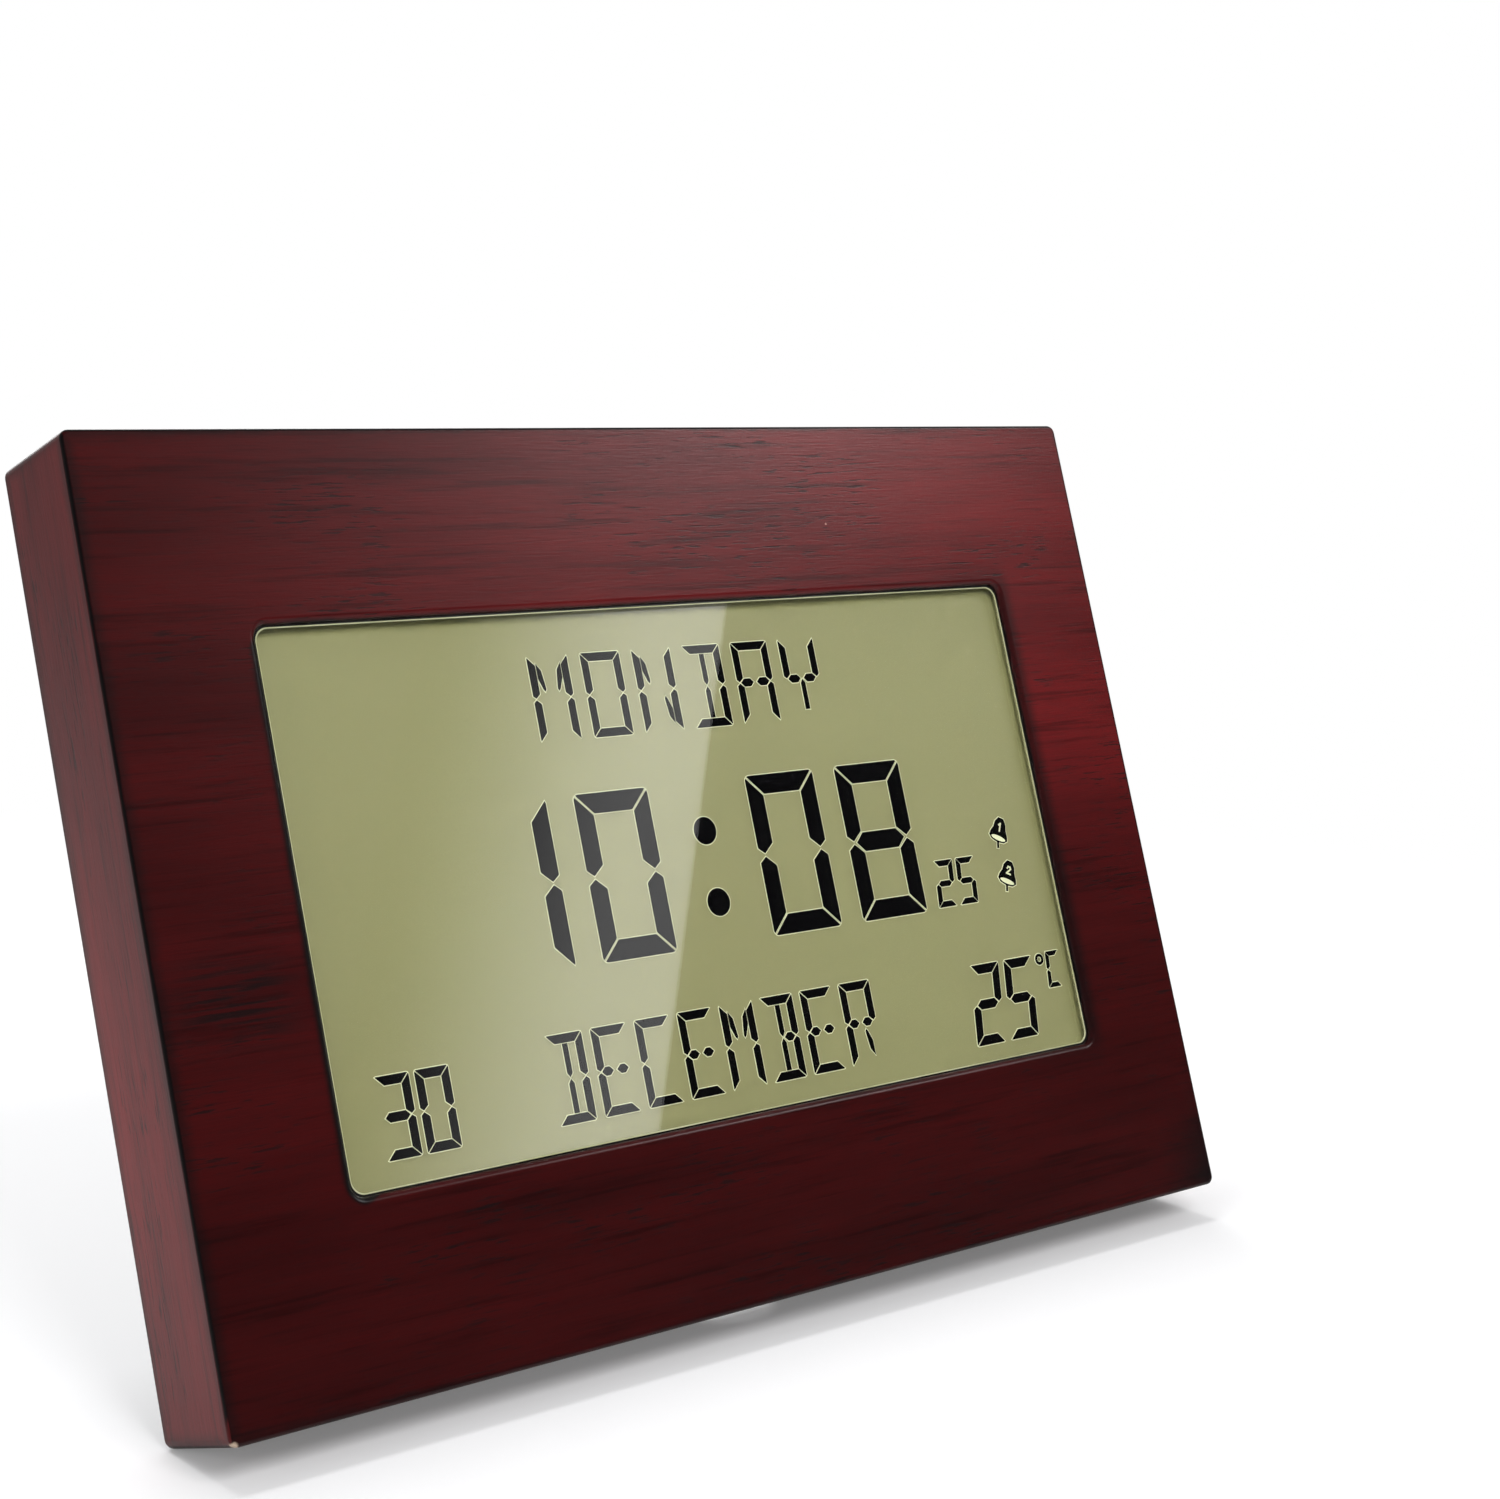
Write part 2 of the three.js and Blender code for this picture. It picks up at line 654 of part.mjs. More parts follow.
// The channel of one leg and its hinge pocket, which is the room that the leg's square heel
// sweeps between the folded and the open stand
function legChannel(x, grow, yTop) {
  const half = standLegWidth / 2 + standSideGap + grow;
  const under = pivotInset + standThickness / 2 + runningFit + grow;
  const channel = box(x - half, x + half, -under, yTop, rampFootHeight - 1, pivotHeight);
  const thick = standThickness / 2 + runningFit + grow;
  const heel = standHeel + 2 * runningFit + grow;
  const folded = box(x - half, x + half, -thick, yTop + pivotInset, -1, heel);
  const open = box(x - half, x + half, -thick, thick - grow, -standHeel, heel);
  const swept = folded.add(tipped(open, standOpenAngle)).translate([0, -pivotInset, pivotHeight]);
  const notchHalf = standLegWidth / 2 + pegReach + fit + grow;
  const notchRadius = pegRadius + fit + grow;
  const seat = roundX(notchRadius, x - notchHalf, x + notchHalf, -pivotInset, pivotHeight, 16);
  const mouthHalf = grow > 0 ? notchRadius : snapMouthHalf;
  const mouth = box(
    x - notchHalf, x + notchHalf, -pivotInset, yTop, pivotHeight - mouthHalf, pivotHeight + mouthHalf);
  return joined([channel, swept, seat, mouth]);
}

function trayForm(grow, yTop) {
  const floorWidth = trayWidth - 2 * trayWallRun + 2 * grow;
  const floorHeight = trayHeight - 2 * trayWallRun + 2 * grow;
  const radius = floorHeight / 2 - 0.01;
  const shape = roundedRectangle(floorWidth, floorHeight, radius, 0, trayCentreHeight);
  const settings = {
    depth: 1,
    bevelEnabled: true,
    bevelThickness: trayDepth,
    bevelSize: trayWallRun,
    bevelSegments: 1,
    curveSegments: 6,
  };
  const geometry = new THREE.ExtrudeGeometry(shape, settings);
  geometry.rotateX(Math.PI / 2);
  geometry.translate(0, recessFloor - grow + 1, 0);
  return solidFrom(geometry).intersect(upTo(yTop));
}

function keyholeForm() {
  const hole = roundY(keyholeRadius, -coverThickness - 1, 1, 0, keyholeHeight, 28);
  const slotRadius = keyholeSlotWidth / 2;
  const slotEnd = roundY(slotRadius, -coverThickness - 1, 1, 0, keyholeSlotTop - slotRadius, 20);
  const slot = box(
    -slotRadius, slotRadius, -coverThickness - 1, 1, keyholeHeight, keyholeSlotTop - slotRadius);
  return joined([hole, slotEnd, slot]);
}

function keyholeBox(grow, yTop) {
  const half = keyholeBoxHalfWidth + grow;
  return box(-half, half, -keyholeBoxDepth - grow, yTop,
    keyholeHeight - keyholeRadius - 1 - grow, keyholeSlotTop + 0.2 + grow);
}

function roundEndedSlot(x, z, length) {
  const shape = roundedRectangle(length, slotHeight, slotHeight / 2 - 0.01, x, z);
  return slab(shape, -coverThickness - 0.2, 1);
}

function grilleSlots() {
  const slots = [];
  const middle = (sounderSlotLengths.length - 1) / 2;
  sounderSlotLengths.forEach((length, row) => {
    slots.push(roundEndedSlot(sounderX, sounderHeight + (row - middle) * sounderSlotPitch, length));
  });
  for (const z of ventHeights) {
    slots.push(roundEndedSlot(ventX, z, ventLength));
    slots.push(roundEndedSlot(-ventX, z, ventLength));
  }
  return joined(slots);
}

function sounderRing() {
  const seat = sounderRadius - 1;
  const bottom = -coverThickness - sounderSeatDepth;
  const outer = sounderRadius + runningFit + sounderRingWall;
  const deep = bottom - sounderThickness - 2 * fit - sounderFoamThickness;
  const outside = roundY(outer, deep, -coverThickness + 0.5, sounderX, sounderHeight, 20);
  const lower = roundY(
    sounderRadius + runningFit, deep - 1, bottom, sounderX, sounderHeight, 20);
  const upper = roundY(seat, bottom - 1, -coverThickness, sounderX, sounderHeight, 20);
  return outside.subtract(lower).subtract(upper);
}

function bayOutside() {
  const shell = box(
    -bayHalfLength - bayWall, bayHalfLength + bayWall, bayFloorPlane - bayFloor, recessFloor - 0.5,
    bayBottom - bayWall, bayTop + bayWall);
  const rimSide = doorHalfWidth + fit + bayWall;
  const rim = box(
    -rimSide, rimSide, doorInner - fit - bayWall, recessFloor - 0.5,
    doorBottom - fit - doorTabReach - bayWall - fit, doorTop + fit + bayWall);
  const latch = box(
    -latchHalfWidth - bayWall, latchHalfWidth + bayWall, recessFloor - latchDepth - bayWall,
    recessFloor - 0.5, doorTop, doorTop + latchHeight + bayWall);
  return joined([shell, rim, latch]);
}

function bayInside() {
  const cavity = box(
    -bayHalfLength, bayHalfLength, bayFloorPlane, recessFloor + 1, bayBottom, bayTop);
  const doorSeat = box(
    -doorHalfWidth - fit, doorHalfWidth + fit, doorInner - fit, recessFloor + 1,
    doorBottom - fit, doorTop + fit);
  const latch = box(
    -latchHalfWidth, latchHalfWidth, recessFloor - latchDepth, recessFloor + 1,
    doorTop, doorTop + latchHeight);
  const pieces = [cavity, doorSeat, latch];
  for (const side of [-1, 1]) {
    const x = side * doorTabX;
    const half = doorTabWidth / 2 + fit;
    pieces.push(box(
      x - half, x + half, doorHingeDepth - doorTabReach - 2 * fit - 0.5,
      doorHingeDepth - fit + 0.1, doorBottom - fit - doorTabReach - fit, doorBottom + 1));
  }
  for (const z of leadHoleHeights()) {
    pieces.push(roundX(
      leadRadius + fit, bayHalfLength - 1, bayHalfLength + bayWall + 1, leadDepth, z, 10));
  }
  return joined(pieces);
}

function leadHoleHeights() {
  return [bayCentreHeight + cellPitch / 2, bayCentreHeight - cellPitch / 2];
}

function circuitBossPlaces() {
  return circuitBossHeights.flatMap((z) => [[-circuitBossX, z], [circuitBossX, z]]);
}

function buildBackCover() {
  const plate = slab(roundedRectangle(coverWidth, coverHeight, 1), -coverThickness, 0);
  const bossEnd = circuitBack + fit;
  const bosses = circuitBossPlaces().map(([x, z]) =>
    roundY(circuitBossRadius, bossEnd, -coverThickness, x, z, 16));
  const scoopHalf = thumbNotchWidth / 2 + coverWall;
  const scoop = box(
    -scoopHalf, scoopHalf, scoopInner, recessFloor - 0.5,
    -innerHalfHeight + fit, thumbNotchReach + coverWall - innerHalfHeight);
  const floorBoss = roundY(
    circuitBossRadius, scoopInner, floorInner + 0.5, 0, floorScrewHeight, 16);
  const positive = joined([
    plate, recessForm(coverWall, -0.5), trayForm(coverWall, recessFloor - 0.5),
    keyholeBox(keyholeWall, -0.5), sounderRing(), bayOutside(), scoop, floorBoss,
    ...bosses]);
  const railSide = box(
    -caseWidth, caseWidth, -caseDepth, rebateFloor + fit, -caseHeight, -innerHalfHeight + fit);
  const railWindow = box(
    -railWindowHalfWidth - fit, railWindowHalfWidth + fit, -caseDepth, 1,
    -caseHeight, -innerHalfHeight + fit);
  const buttonHoles = buttonPlaces().map((x) =>
    roundY(buttonHoleRadius, trayInner - 1, trayFloor + 1, x, buttonHeight, 14));
  const bossBores = circuitBossPlaces().map(([x, z]) =>
    roundY(circuitScrewRadius + fit, bossEnd - 1, bossEnd + 6, x, z, 10));
  const screwHoles = coverScrewPlaces.flatMap(([x, z]) => [
    coverScrewBore(x, z, 0),
    roundY(coverScrewHeadRadius + fit, -coverScrewSink - 0.7, 1, x, z, 16)]);
  screwHoles.push(coverScrewBore(0, floorScrewHeight, recessFloor));
  screwHoles.push(roundY(
    floorScrewHeadRadius + fit, recessFloor - coverScrewSink - 0.7, 1, 0, floorScrewHeight, 14));
  const pinHoles = pinPlaces.map(([x, z]) => roundY(pinRadius + fit, -4, 1, x, z, 10));
  const pinSeats = pinPlaces.map(([x, z]) => roundY(pinHeadRadius + fit, -0.7, 1, x, z, 12));
  const dimples = [-1, 1].map((side) => roundY(
    dimpleRadius, recessFloor - dimpleDepth, recessFloor + 1, side * dimpleX, dimpleHeight, 10));
  const negative = joined([
    recessForm(0, 1), trayForm(0, recessFloor + 1), keyholeForm(), keyholeBox(0, -coverThickness),
    grilleSlots(), bayInside(), thumbNotch(), railSide, railWindow,
    ...buttonHoles, ...bossBores, ...screwHoles, ...pinHoles, ...pinSeats, ...dimples]);
  return positive.subtract(negative);
}

// Stand: a flat U with split, springy leg heads, drawn round its pivot axis and hung from it
function buildStand() {
  const half = standHalfWidth;
  const inner = standHalfWidth - standLegWidth;
  const bottom = -standLength - footOverhang;
  const barTop = -standLength + standBarHeight;
  const outline = new THREE.Shape();
  outline.moveTo(-half, standHeel);
  outline.lineTo(-half, bottom + standOuterRadius);
  outline.absarc(-half + standOuterRadius, bottom + standOuterRadius, standOuterRadius,
    Math.PI, Math.PI * 1.5);
  outline.absarc(half - standOuterRadius, bottom + standOuterRadius, standOuterRadius,
    -Math.PI / 2, 0);
  outline.lineTo(half, standHeel);
  outline.lineTo(inner, standHeel);
  outline.absarc(inner - standInnerRadius, barTop + standInnerRadius, standInnerRadius,
    0, -Math.PI / 2, true);
  outline.absarc(-inner + standInnerRadius, barTop + standInnerRadius, standInnerRadius,
    -Math.PI / 2, -Math.PI, true);
  outline.lineTo(-inner, standHeel);
  const flat = softSlab(outline, -standThickness / 2, standThickness / 2, standEdgeRound, 6, 2);
  const pegs = [];
  const slits = [];
  for (const side of [-1, 1]) {
    const x = side * legCentre;
    const legHalf = standLegWidth / 2;
    for (const end of [-1, 1]) {
      const pegRoot = x + end * (legHalf - slitFinger / 2);
      const pegTip = x + end * (legHalf + pegReach);
      pegs.push(roundX(pegRadius, Math.min(pegRoot, pegTip), Math.max(pegRoot, pegTip), 0, 0, 16));
      const slitX = x + end * (legHalf - slitFinger - slitWidth / 2);
      slits.push(box(slitX - slitWidth / 2, slitX + slitWidth / 2, -standThickness, standThickness,
        standHeel - slitLength, standHeel + 1));
    }
  }
  const table = box(-caseWidth, caseWidth, -caseDepth, caseDepth, -caseHeight, 0);
  const footCut = tipped(table, -standTilt).translate([0, 0, -standLength]);
  return flat.add(joined(pegs)).subtract(joined(slits)).subtract(footCut);
}

// Battery door, drawn round its hinge line at the lower edge
function buildBatteryDoor() {
  const height = doorTop - doorBottom;
  const outer = recessFloor - doorHingeDepth;
  const inner = outer - doorThickness;
  const plate = box(-doorHalfWidth, doorHalfWidth, inner, outer, -doorHingeRise,
    height - doorHingeRise);
  const top = height - doorHingeRise;
  const latch = box(-doorLatchHalfWidth, doorLatchHalfWidth, inner, inner + doorLatchThickness,
    top - 1, top + doorLatchReach);
  const latchRib = box(-doorLatchHalfWidth, doorLatchHalfWidth, inner, outer,
    top + doorLatchReach - doorLatchThickness, top + doorLatchReach);
  const pieces = [plate, latch, latchRib];
  for (const side of [-1, 1]) {
    const x = side * doorTabX;
    pieces.push(box(x - doorTabWidth / 2, x + doorTabWidth / 2, inner, inner + doorTabThickness,
      -doorHingeRise - doorTabReach, 1));
  }
  return joined(pieces);
}

function buildCell(direction) {
  const bodyLength = cellLength - cellNubLength;
  const half = cellLength / 2;
  const round = 0.5;
  const profile = [[0, -half], [cellRadius - round, -half], [cellRadius, -half + round],
    [cellRadius, -half + bodyLength - round], [cellRadius - round, -half + bodyLength],
    [cellNubRadius, -half + bodyLength], [cellNubRadius, half], [0, half]];
  const points = profile.map(([radius, height]) => new THREE.Vector2(radius, height));
  const geometry = new THREE.LatheGeometry(points, 20);
  geometry.rotateZ(-direction * Math.PI / 2);
  return solidFrom(geometry);
}

// A conical wire coil that runs along X
class ConicalCoil extends THREE.Curve {
  constructor(length, baseRadius, tipRadius, turns) {
    super();
    Object.assign(this, { length, baseRadius, tipRadius, turns });
  }

  getPoint(t, target = new THREE.Vector3()) {
    const radius = THREE.MathUtils.lerp(this.baseRadius, this.tipRadius, t);
    const angle = t * this.turns * 2 * Math.PI;
    return target.set(t * this.length, radius * Math.cos(angle), radius * Math.sin(angle));
  }
}

function coilSolid(length) {
  const path = new ConicalCoil(length, cellRadius * 0.75, cellNubRadius * 1.3, coilTurns);
  const pitch = length / coilTurns;
  console.log(`battery coil, least gap between its turns: ${(pitch - coilWire).toFixed(2)} mm`);
  const wire = new THREE.Shape();
  wire.absarc(0, 0, coilWire / 2, 0, 2 * Math.PI);
  const settings = {
    steps: coilTurns * coilStep, bevelEnabled: false, curveSegments: 3, extrudePath: path };
  return solidFrom(new THREE.ExtrudeGeometry(wire, settings));
}

function contactPlate(end, z) {
  const wall = end * (bayHalfLength - fit / 2);
  const face = end * (bayHalfLength - fit / 2 - contactThickness);
  const half = cellRadius - 1;
  return box(Math.min(wall, face), Math.max(wall, face), cellAxisDepth - half, cellAxisDepth + half,
    z - half, z + half);
}

function coilContact(end, z) {
  const face = end * (bayHalfLength - fit / 2 - contactThickness * 1.2);
  const coil = coilSolid(coilLength);
  const placed = (end < 0 ? coil : coil.mirror([1, 0, 0])).translate([face, cellAxisDepth, z]);
  return contactPlate(end, z).add(placed);
}

function bumpContact(end, z) {
  const face = bayHalfLength - fit / 2 - contactThickness / 2;
  const profile = [[0, 0], [3, 0], [2.2, 0.8], [1.2, contactBump], [0, contactBump]];
  const points = profile.map(([radius, height]) => new THREE.Vector2(radius, height));
  const geometry = new THREE.LatheGeometry(points, 14);
  geometry.rotateZ(end * Math.PI / 2);
  geometry.translate(end * face, cellAxisDepth, z);
  return contactPlate(end, z).add(solidFrom(geometry));
}

function buildBattery() {
  const [upper, lower] = leadHoleHeights();
  const cells = [[1, upper, 'battery_upper'], [-1, lower, 'battery_lower']];
  for (const [direction, z, name] of cells) {
    const cell = addPiece(name, buildCell(direction), cellJacket);
    cell.position.set(direction * cellShift, cellAxisDepth, z);
  }
  const strap = box(
    -bayHalfLength + fit / 2, -bayHalfLength + fit / 2 + contactThickness,
    cellAxisDepth - 1.5, cellAxisDepth + 1.5, lower, upper);
  const link = joined([coilContact(-1, upper), bumpContact(-1, lower), strap]);
  addPiece('battery_link', link, steel);
  addPiece('battery_terminal_plus', bumpContact(1, upper), steel);
  addPiece('battery_terminal_minus', coilContact(1, lower), steel);
}

// Buttons: a domed cap with a flange behind the tray floor and a plunger into its switch
function buttonPlaces() {
  const middle = (buttonNames.length - 1) / 2;
  return buttonNames.map((name, index) => (middle - index) * buttonPitch);
}

function buildButton() {
  const top = trayFloor + buttonProtrusion;
  const profile = [[0, plungerEnd], [plungerRadius, plungerEnd], [plungerRadius, flangeFront],
    [buttonFlangeRadius, flangeFront], [buttonFlangeRadius, flangeBack],
    [buttonRadius, flangeBack], [buttonRadius, top - buttonDome]];
  const domeSteps = 3;
  for (let step = 1; step <= domeSteps; step += 1) {
    const angle = (step / domeSteps) * Math.PI / 2;
    const height = top - buttonDome + buttonDome * Math.sin(angle);
    profile.push([buttonRadius * Math.cos(angle), height]);
  }
  profile[profile.length - 1][0] = 0;
  return turned(profile, 0, 0, 0, 12);
}

function buildSwitches() {
  const half = switchSize / 2;
  return buttonPlaces().map((x) => {
    const body = box(
      x - half, x + half, partSeat, switchBack, buttonHeight - half, buttonHeight + half);
    const bore = roundY(plungerRadius + fit, plungerEnd - buttonTravel - fit, switchBack + 1,
      x, buttonHeight, 14);
    return body.subtract(bore);
  });
}

// Circuit board and its small parts
function buildCircuitBoard() {
  const shape = roundedRectangle(
    2 * boardHalfWidth, boardTop - boardBottom, 1, 0, (boardTop + boardBottom) / 2);
  const holes = circuitBossPlaces().map(([x, z]) =>
    roundY(circuitScrewRadius + fit, boardFront - 1, circuitBack + 1, x, z, 10));
  return slab(shape, boardFront, circuitBack, 2).subtract(joined(holes));
}

function buildCircuitScrews() {
  return circuitBossPlaces().map(([x, z]) => screw(
    x, z, boardFront - fit - circuitScrewHeadThickness, circuitScrewRadius * 1.9,
    circuitScrewHeadThickness, circuitScrewRadius, circuitScrewLength, -1));
}

function buildChipBlob() {
  const profile = [[0, 0], [chipRadius, 0], [chipRadius * 0.9, chipHeight * 0.5],
    [chipRadius * 0.5, chipHeight * 0.92], [0, chipHeight]];
  const besideSwitches = buttonPlaces().at(-1) - switchSize / 2 - chipClearance - chipRadius;
  return turned(profile, besideSwitches, partSeat, boardBottom + chipRise, 14);
}

function buildCrystal() {
  const depth = partSeat + crystalRadius;
  const z = boardBottom + crystalRise;
  const end = crystalX + crystalLength;
  const can = roundX(crystalRadius, crystalX, end, depth, z, 12);
  const stub = box(end - 0.4, end + 0.4, depth - 0.4, depth + 0.4, z - 0.7, z + 0.7);
  const pins = [-0.45, 0.45].map((offset) => box(end, end + crystalPinLength,
    depth - 0.15, depth + 0.15, z + offset - 0.15, z + offset + 0.15));
  return joined([can, stub, ...pins]);
}

function buildCapacitors() {
  const height = trayInner - partSeat - 1;
  const bevel = 0.3;
  const profile = [[0, 0], [capacitorRadius, 0], [capacitorRadius, height - bevel],
    [capacitorRadius - bevel, height], [0, height]];
  return capacitorSideInsets.map((inset) =>
    turned(profile, boardHalfWidth - inset, partSeat, boardBottom + capacitorRise, 14));
}

function buildThermistor() {
  const x = thermistorSideInset - boardHalfWidth;
  const z = boardBottom + thermistorRise;
  const bead = turned([[0, 0], [0.9, 0.3], [1.2, 1], [0.9, 1.7], [0, 2]], x, partSeat + 1, z, 10);
  const leads = [-0.5, 0.5].map((offset) => box(
    x + offset - 0.15, x + offset + 0.15, partSeat, partSeat + 1.6, z - 0.15, z + 0.15));
  return joined([bead, ...leads]);
}

// Film ribbon from the glass's contact ledge, over the top of the circuit board to its back
function buildRibbon() {
  const glassSide = glassBack + fit;
  const boardSide = circuitBack + fit + ribbonThickness;
  const radius = (boardSide - glassSide) / 2;
  const middle = (boardSide + glassSide) / 2;
  const turnHeight = boardTop + fit;
  const tailEnd = boardTop - ribbonTail;
  const shape = new THREE.Shape();
  shape.moveTo(glassSide, tailEnd);
  shape.lineTo(glassSide, turnHeight);
  shape.absarc(middle, turnHeight, radius, Math.PI, 0, true);
  shape.lineTo(boardSide, tailEnd);
  shape.lineTo(boardSide - ribbonThickness, tailEnd);
  shape.absarc(middle, turnHeight, radius - ribbonThickness, 0, Math.PI, false);
  shape.lineTo(glassSide + ribbonThickness, tailEnd);
  return sideSlab(shape, -ribbonHalfWidth, ribbonHalfWidth, 5);
}

function buildSounder() {
  const top = -coverThickness - sounderSeatDepth - fit;
  const plate = sounderThickness / 2;
  const profile = [[0, -sounderThickness], [sounderRadius * 0.7, -sounderThickness],
    [sounderRadius * 0.7, -plate], [sounderRadius, -plate], [sounderRadius, 0], [0, 0]];
  return turned(profile, sounderX, top, sounderHeight, 18);
}

function buildSounderFoam() {
  const top = -coverThickness - sounderSeatDepth - 2 * fit - sounderThickness / 2;
  const inner = sounderRadius * 0.75;
  const profile = [[inner, 0], [inner, -sounderFoamThickness], [sounderRadius, -sounderFoamThickness],
    [sounderRadius, 0], [inner, 0]];
  return turned(profile, sounderX, top, sounderHeight, 18);
}

// An insulated lead along a smooth route
function lead(points) {
  const path = new THREE.CatmullRomCurve3(points.map((point) => new THREE.Vector3(...point)));
  const section = new THREE.Shape();
  section.absarc(0, 0, leadRadius, 0, 2 * Math.PI);
  const settings = { steps: 3 * points.length, bevelEnabled: false, curveSegments: 3, extrudePath: path };
  return solidFrom(new THREE.ExtrudeGeometry(section, settings));
}

function buildBatteryLeads() {
  const step = leadRadius;
  const start = bayHalfLength + step / 3;
  return leadHoleHeights().map((z, index) => {
    const side = start + 7.2 * step + 0.8 * leadPitch * index;
    const end = circuitBossX - leadBossGap + leadPitch * index;
    return lead([
      [start, leadDepth, z], [start + 4 * step, leadDepth, z],
      [side, leadDepth - 1.7 * step, z + 10 * step],
      [side, leadDepth - 2.5 * step, bayTop + latchHeight + 4 * step],
      [end + step, partSeat + 5.7 * step, boardBottom - 0.8 * step],
      [end, partSeat + 3.4 * step, boardBottom + 4.3 * step],
      [end, partSeat, boardBottom + 4.5 * step]]);
  });
}

function buildSounderLeads() {
  const behind = -coverThickness - sounderSeatDepth - 2 * fit - sounderThickness;
  const step = leadRadius;
  return [0, 1].map((index) => {
    const start = sounderX + 4.2 * step + leadPitch * index;
    const end = leadBossGap - circuitBossX + leadPitch * index;
    return lead([
      [start, behind - step / 6, sounderHeight - 5 * step],
      [start, behind - 6 * step, sounderHeight - 6.7 * step],
      [start + (7.5 - index) * step, partSeat + 7.7 * step, boardTop + 10.8 * step],
      [end - 1.7 * step, partSeat + 4.7 * step, boardTop - 5 * step],
      [end, partSeat + 3.4 * step, boardTop - 11.2 * step],
      [end, partSeat, boardTop - 11.5 * step]]);
  });
}

addPiece('front_board', buildFrontBoard(), mahogany);
buildRails();
addSeries('screw_block', buildScrewBlocks(), rawWood);
addPiece('window_lens', buildLens(), clearPlastic);
addPiece('lcd_glass', buildGlass(), displayGlass);
addPiece('lcd_retainer', buildRetainer(), greyPlastic);
addPiece('lcd_ribbon', buildRibbon(), ribbonFilm);
addPiece('back_cover', buildBackCover(), blackPlastic);
addSeries('cover_screw', buildCoverScrews(), darkSteel);
addSeries('cover_pin', buildCoverPins(), steel);
const stand = addPiece('stand', buildStand(), standPlastic);
stand.position.set(0, -pivotInset, pivotHeight);
stand.rotation.x = standOpenAngle;
const door = addPiece('battery_door', buildBatteryDoor(), blackPlastic);
door.position.set(0, doorHingeDepth, doorBottom + doorHingeRise);
buildBattery();
const buttonSolid = buildButton();
buttonPlaces().forEach((x, index) => {
  const button = addPiece(buttonNames[index], buttonSolid, chrome);
  button.position.set(x, 0, buttonHeight);
});
addSeries('switch', buildSwitches(), epoxy);
addPiece('circuit_board', buildCircuitBoard(), circuitGreen);
addSeries('circuit_screw', buildCircuitScrews(), steel);
addPiece('chip_blob', buildChipBlob(), epoxy);
addPiece('quartz_crystal', buildCrystal(), steel);
addSeries('capacitor', buildCapacitors(), epoxy);
addPiece('thermistor', buildThermistor(), epoxy);
addPiece('sounder', buildSounder(), brass);
addPiece('sounder_foam', buildSounderFoam(), foam);
addSeries('battery_lead', buildBatteryLeads(), redLead);
addSeries('sounder_lead', buildSounderLeads(), redLead);

// The origin is the middle of the clock's footprint, on the table
clock.updateMatrixWorld(true);
const bounds = new THREE.Box3().setFromObject(clock, true);
clock.position.y = -(bounds.min.y + bounds.max.y) / 2;

export default clock;
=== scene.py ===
import json
from contextlib import contextmanager
from math import atan2, cos, pi, radians, sin

import bmesh
import bpy
from mathutils import Matrix, Vector


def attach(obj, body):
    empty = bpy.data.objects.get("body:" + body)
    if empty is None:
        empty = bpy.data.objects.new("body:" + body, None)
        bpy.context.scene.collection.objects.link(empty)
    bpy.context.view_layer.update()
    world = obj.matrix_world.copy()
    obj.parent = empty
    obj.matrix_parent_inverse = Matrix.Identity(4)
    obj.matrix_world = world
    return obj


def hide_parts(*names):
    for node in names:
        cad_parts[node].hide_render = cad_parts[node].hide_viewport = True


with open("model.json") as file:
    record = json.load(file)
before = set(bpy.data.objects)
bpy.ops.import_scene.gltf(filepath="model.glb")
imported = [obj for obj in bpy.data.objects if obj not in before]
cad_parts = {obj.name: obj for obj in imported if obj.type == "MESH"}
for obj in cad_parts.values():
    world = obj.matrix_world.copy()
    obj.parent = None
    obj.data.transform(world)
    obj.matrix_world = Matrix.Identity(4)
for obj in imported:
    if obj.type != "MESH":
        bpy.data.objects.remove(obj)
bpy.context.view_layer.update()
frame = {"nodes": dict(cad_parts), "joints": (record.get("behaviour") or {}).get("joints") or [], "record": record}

nodes = frame["nodes"]
joints = {joint["name"]: joint for joint in frame["joints"]}

MM = 0.001

# Wooden case
CASE_WIDTH = 230
CASE_HEIGHT = 165
CASE_DEPTH = 23.5
CASE_CORNER = 1.7
FRONT_ROUND = 0.7
BACK_ROUND = 0.6
REBATE_CORNER = 1
RAIL = 4.4
BOARD = 5
BOARD_LIP = 2.2
COVER_MARGIN = 1.5
COVER_THICKNESS = 2
GAP = 0.3
RAIL_WINDOW = 49
NOTCH_WIDTH = 22.5
NOTCH_DEPTH = 7.8

# Display
WINDOW_WIDTH = 174.4
WINDOW_HEIGHT = 96.9
WINDOW_CORNER = 2.4
WINDOW_X = 1.25
WINDOW_Z = -0.25
WINDOW_RIM = 1.2
GASKET_WIDTH = 0.3
GASKET_DEPTH = 0.25
EDGE_WIDTH = 0.22
EDGE_DEPTH = 0.12
RING_GAP = 0.02
LENS_FLANGE = 4
LENS_RECESS = 1.4
LENS_FLANGE_THICKNESS = 0.8
LENS_ROUND = 0.2
GLASS_GAP = 0.2
SEGMENT_THICKNESS = 0.05
MARK_THICKNESS = 0.03
OUTLINE_GROWTH = 0.16

# Stand
STAND_HALF = 71.4
STAND_LEG = 13.7
STAND_THICKNESS = 5
STAND_LENGTH = 123.1
STAND_BAR = 30
STAND_HEEL = 3
STAND_OUTER = 28
STAND_INNER = 22
STAND_ROUND = 0.5
STAND_FOOT_TRIM = 0.8
DOOR_ROUND = 0.15
SLIT_WIDTH = 1.6
SLIT_LENGTH = 9
SLIT_FINGER = 2.4
PEG_RADIUS = 1.5
PEG_REACH = 2.2

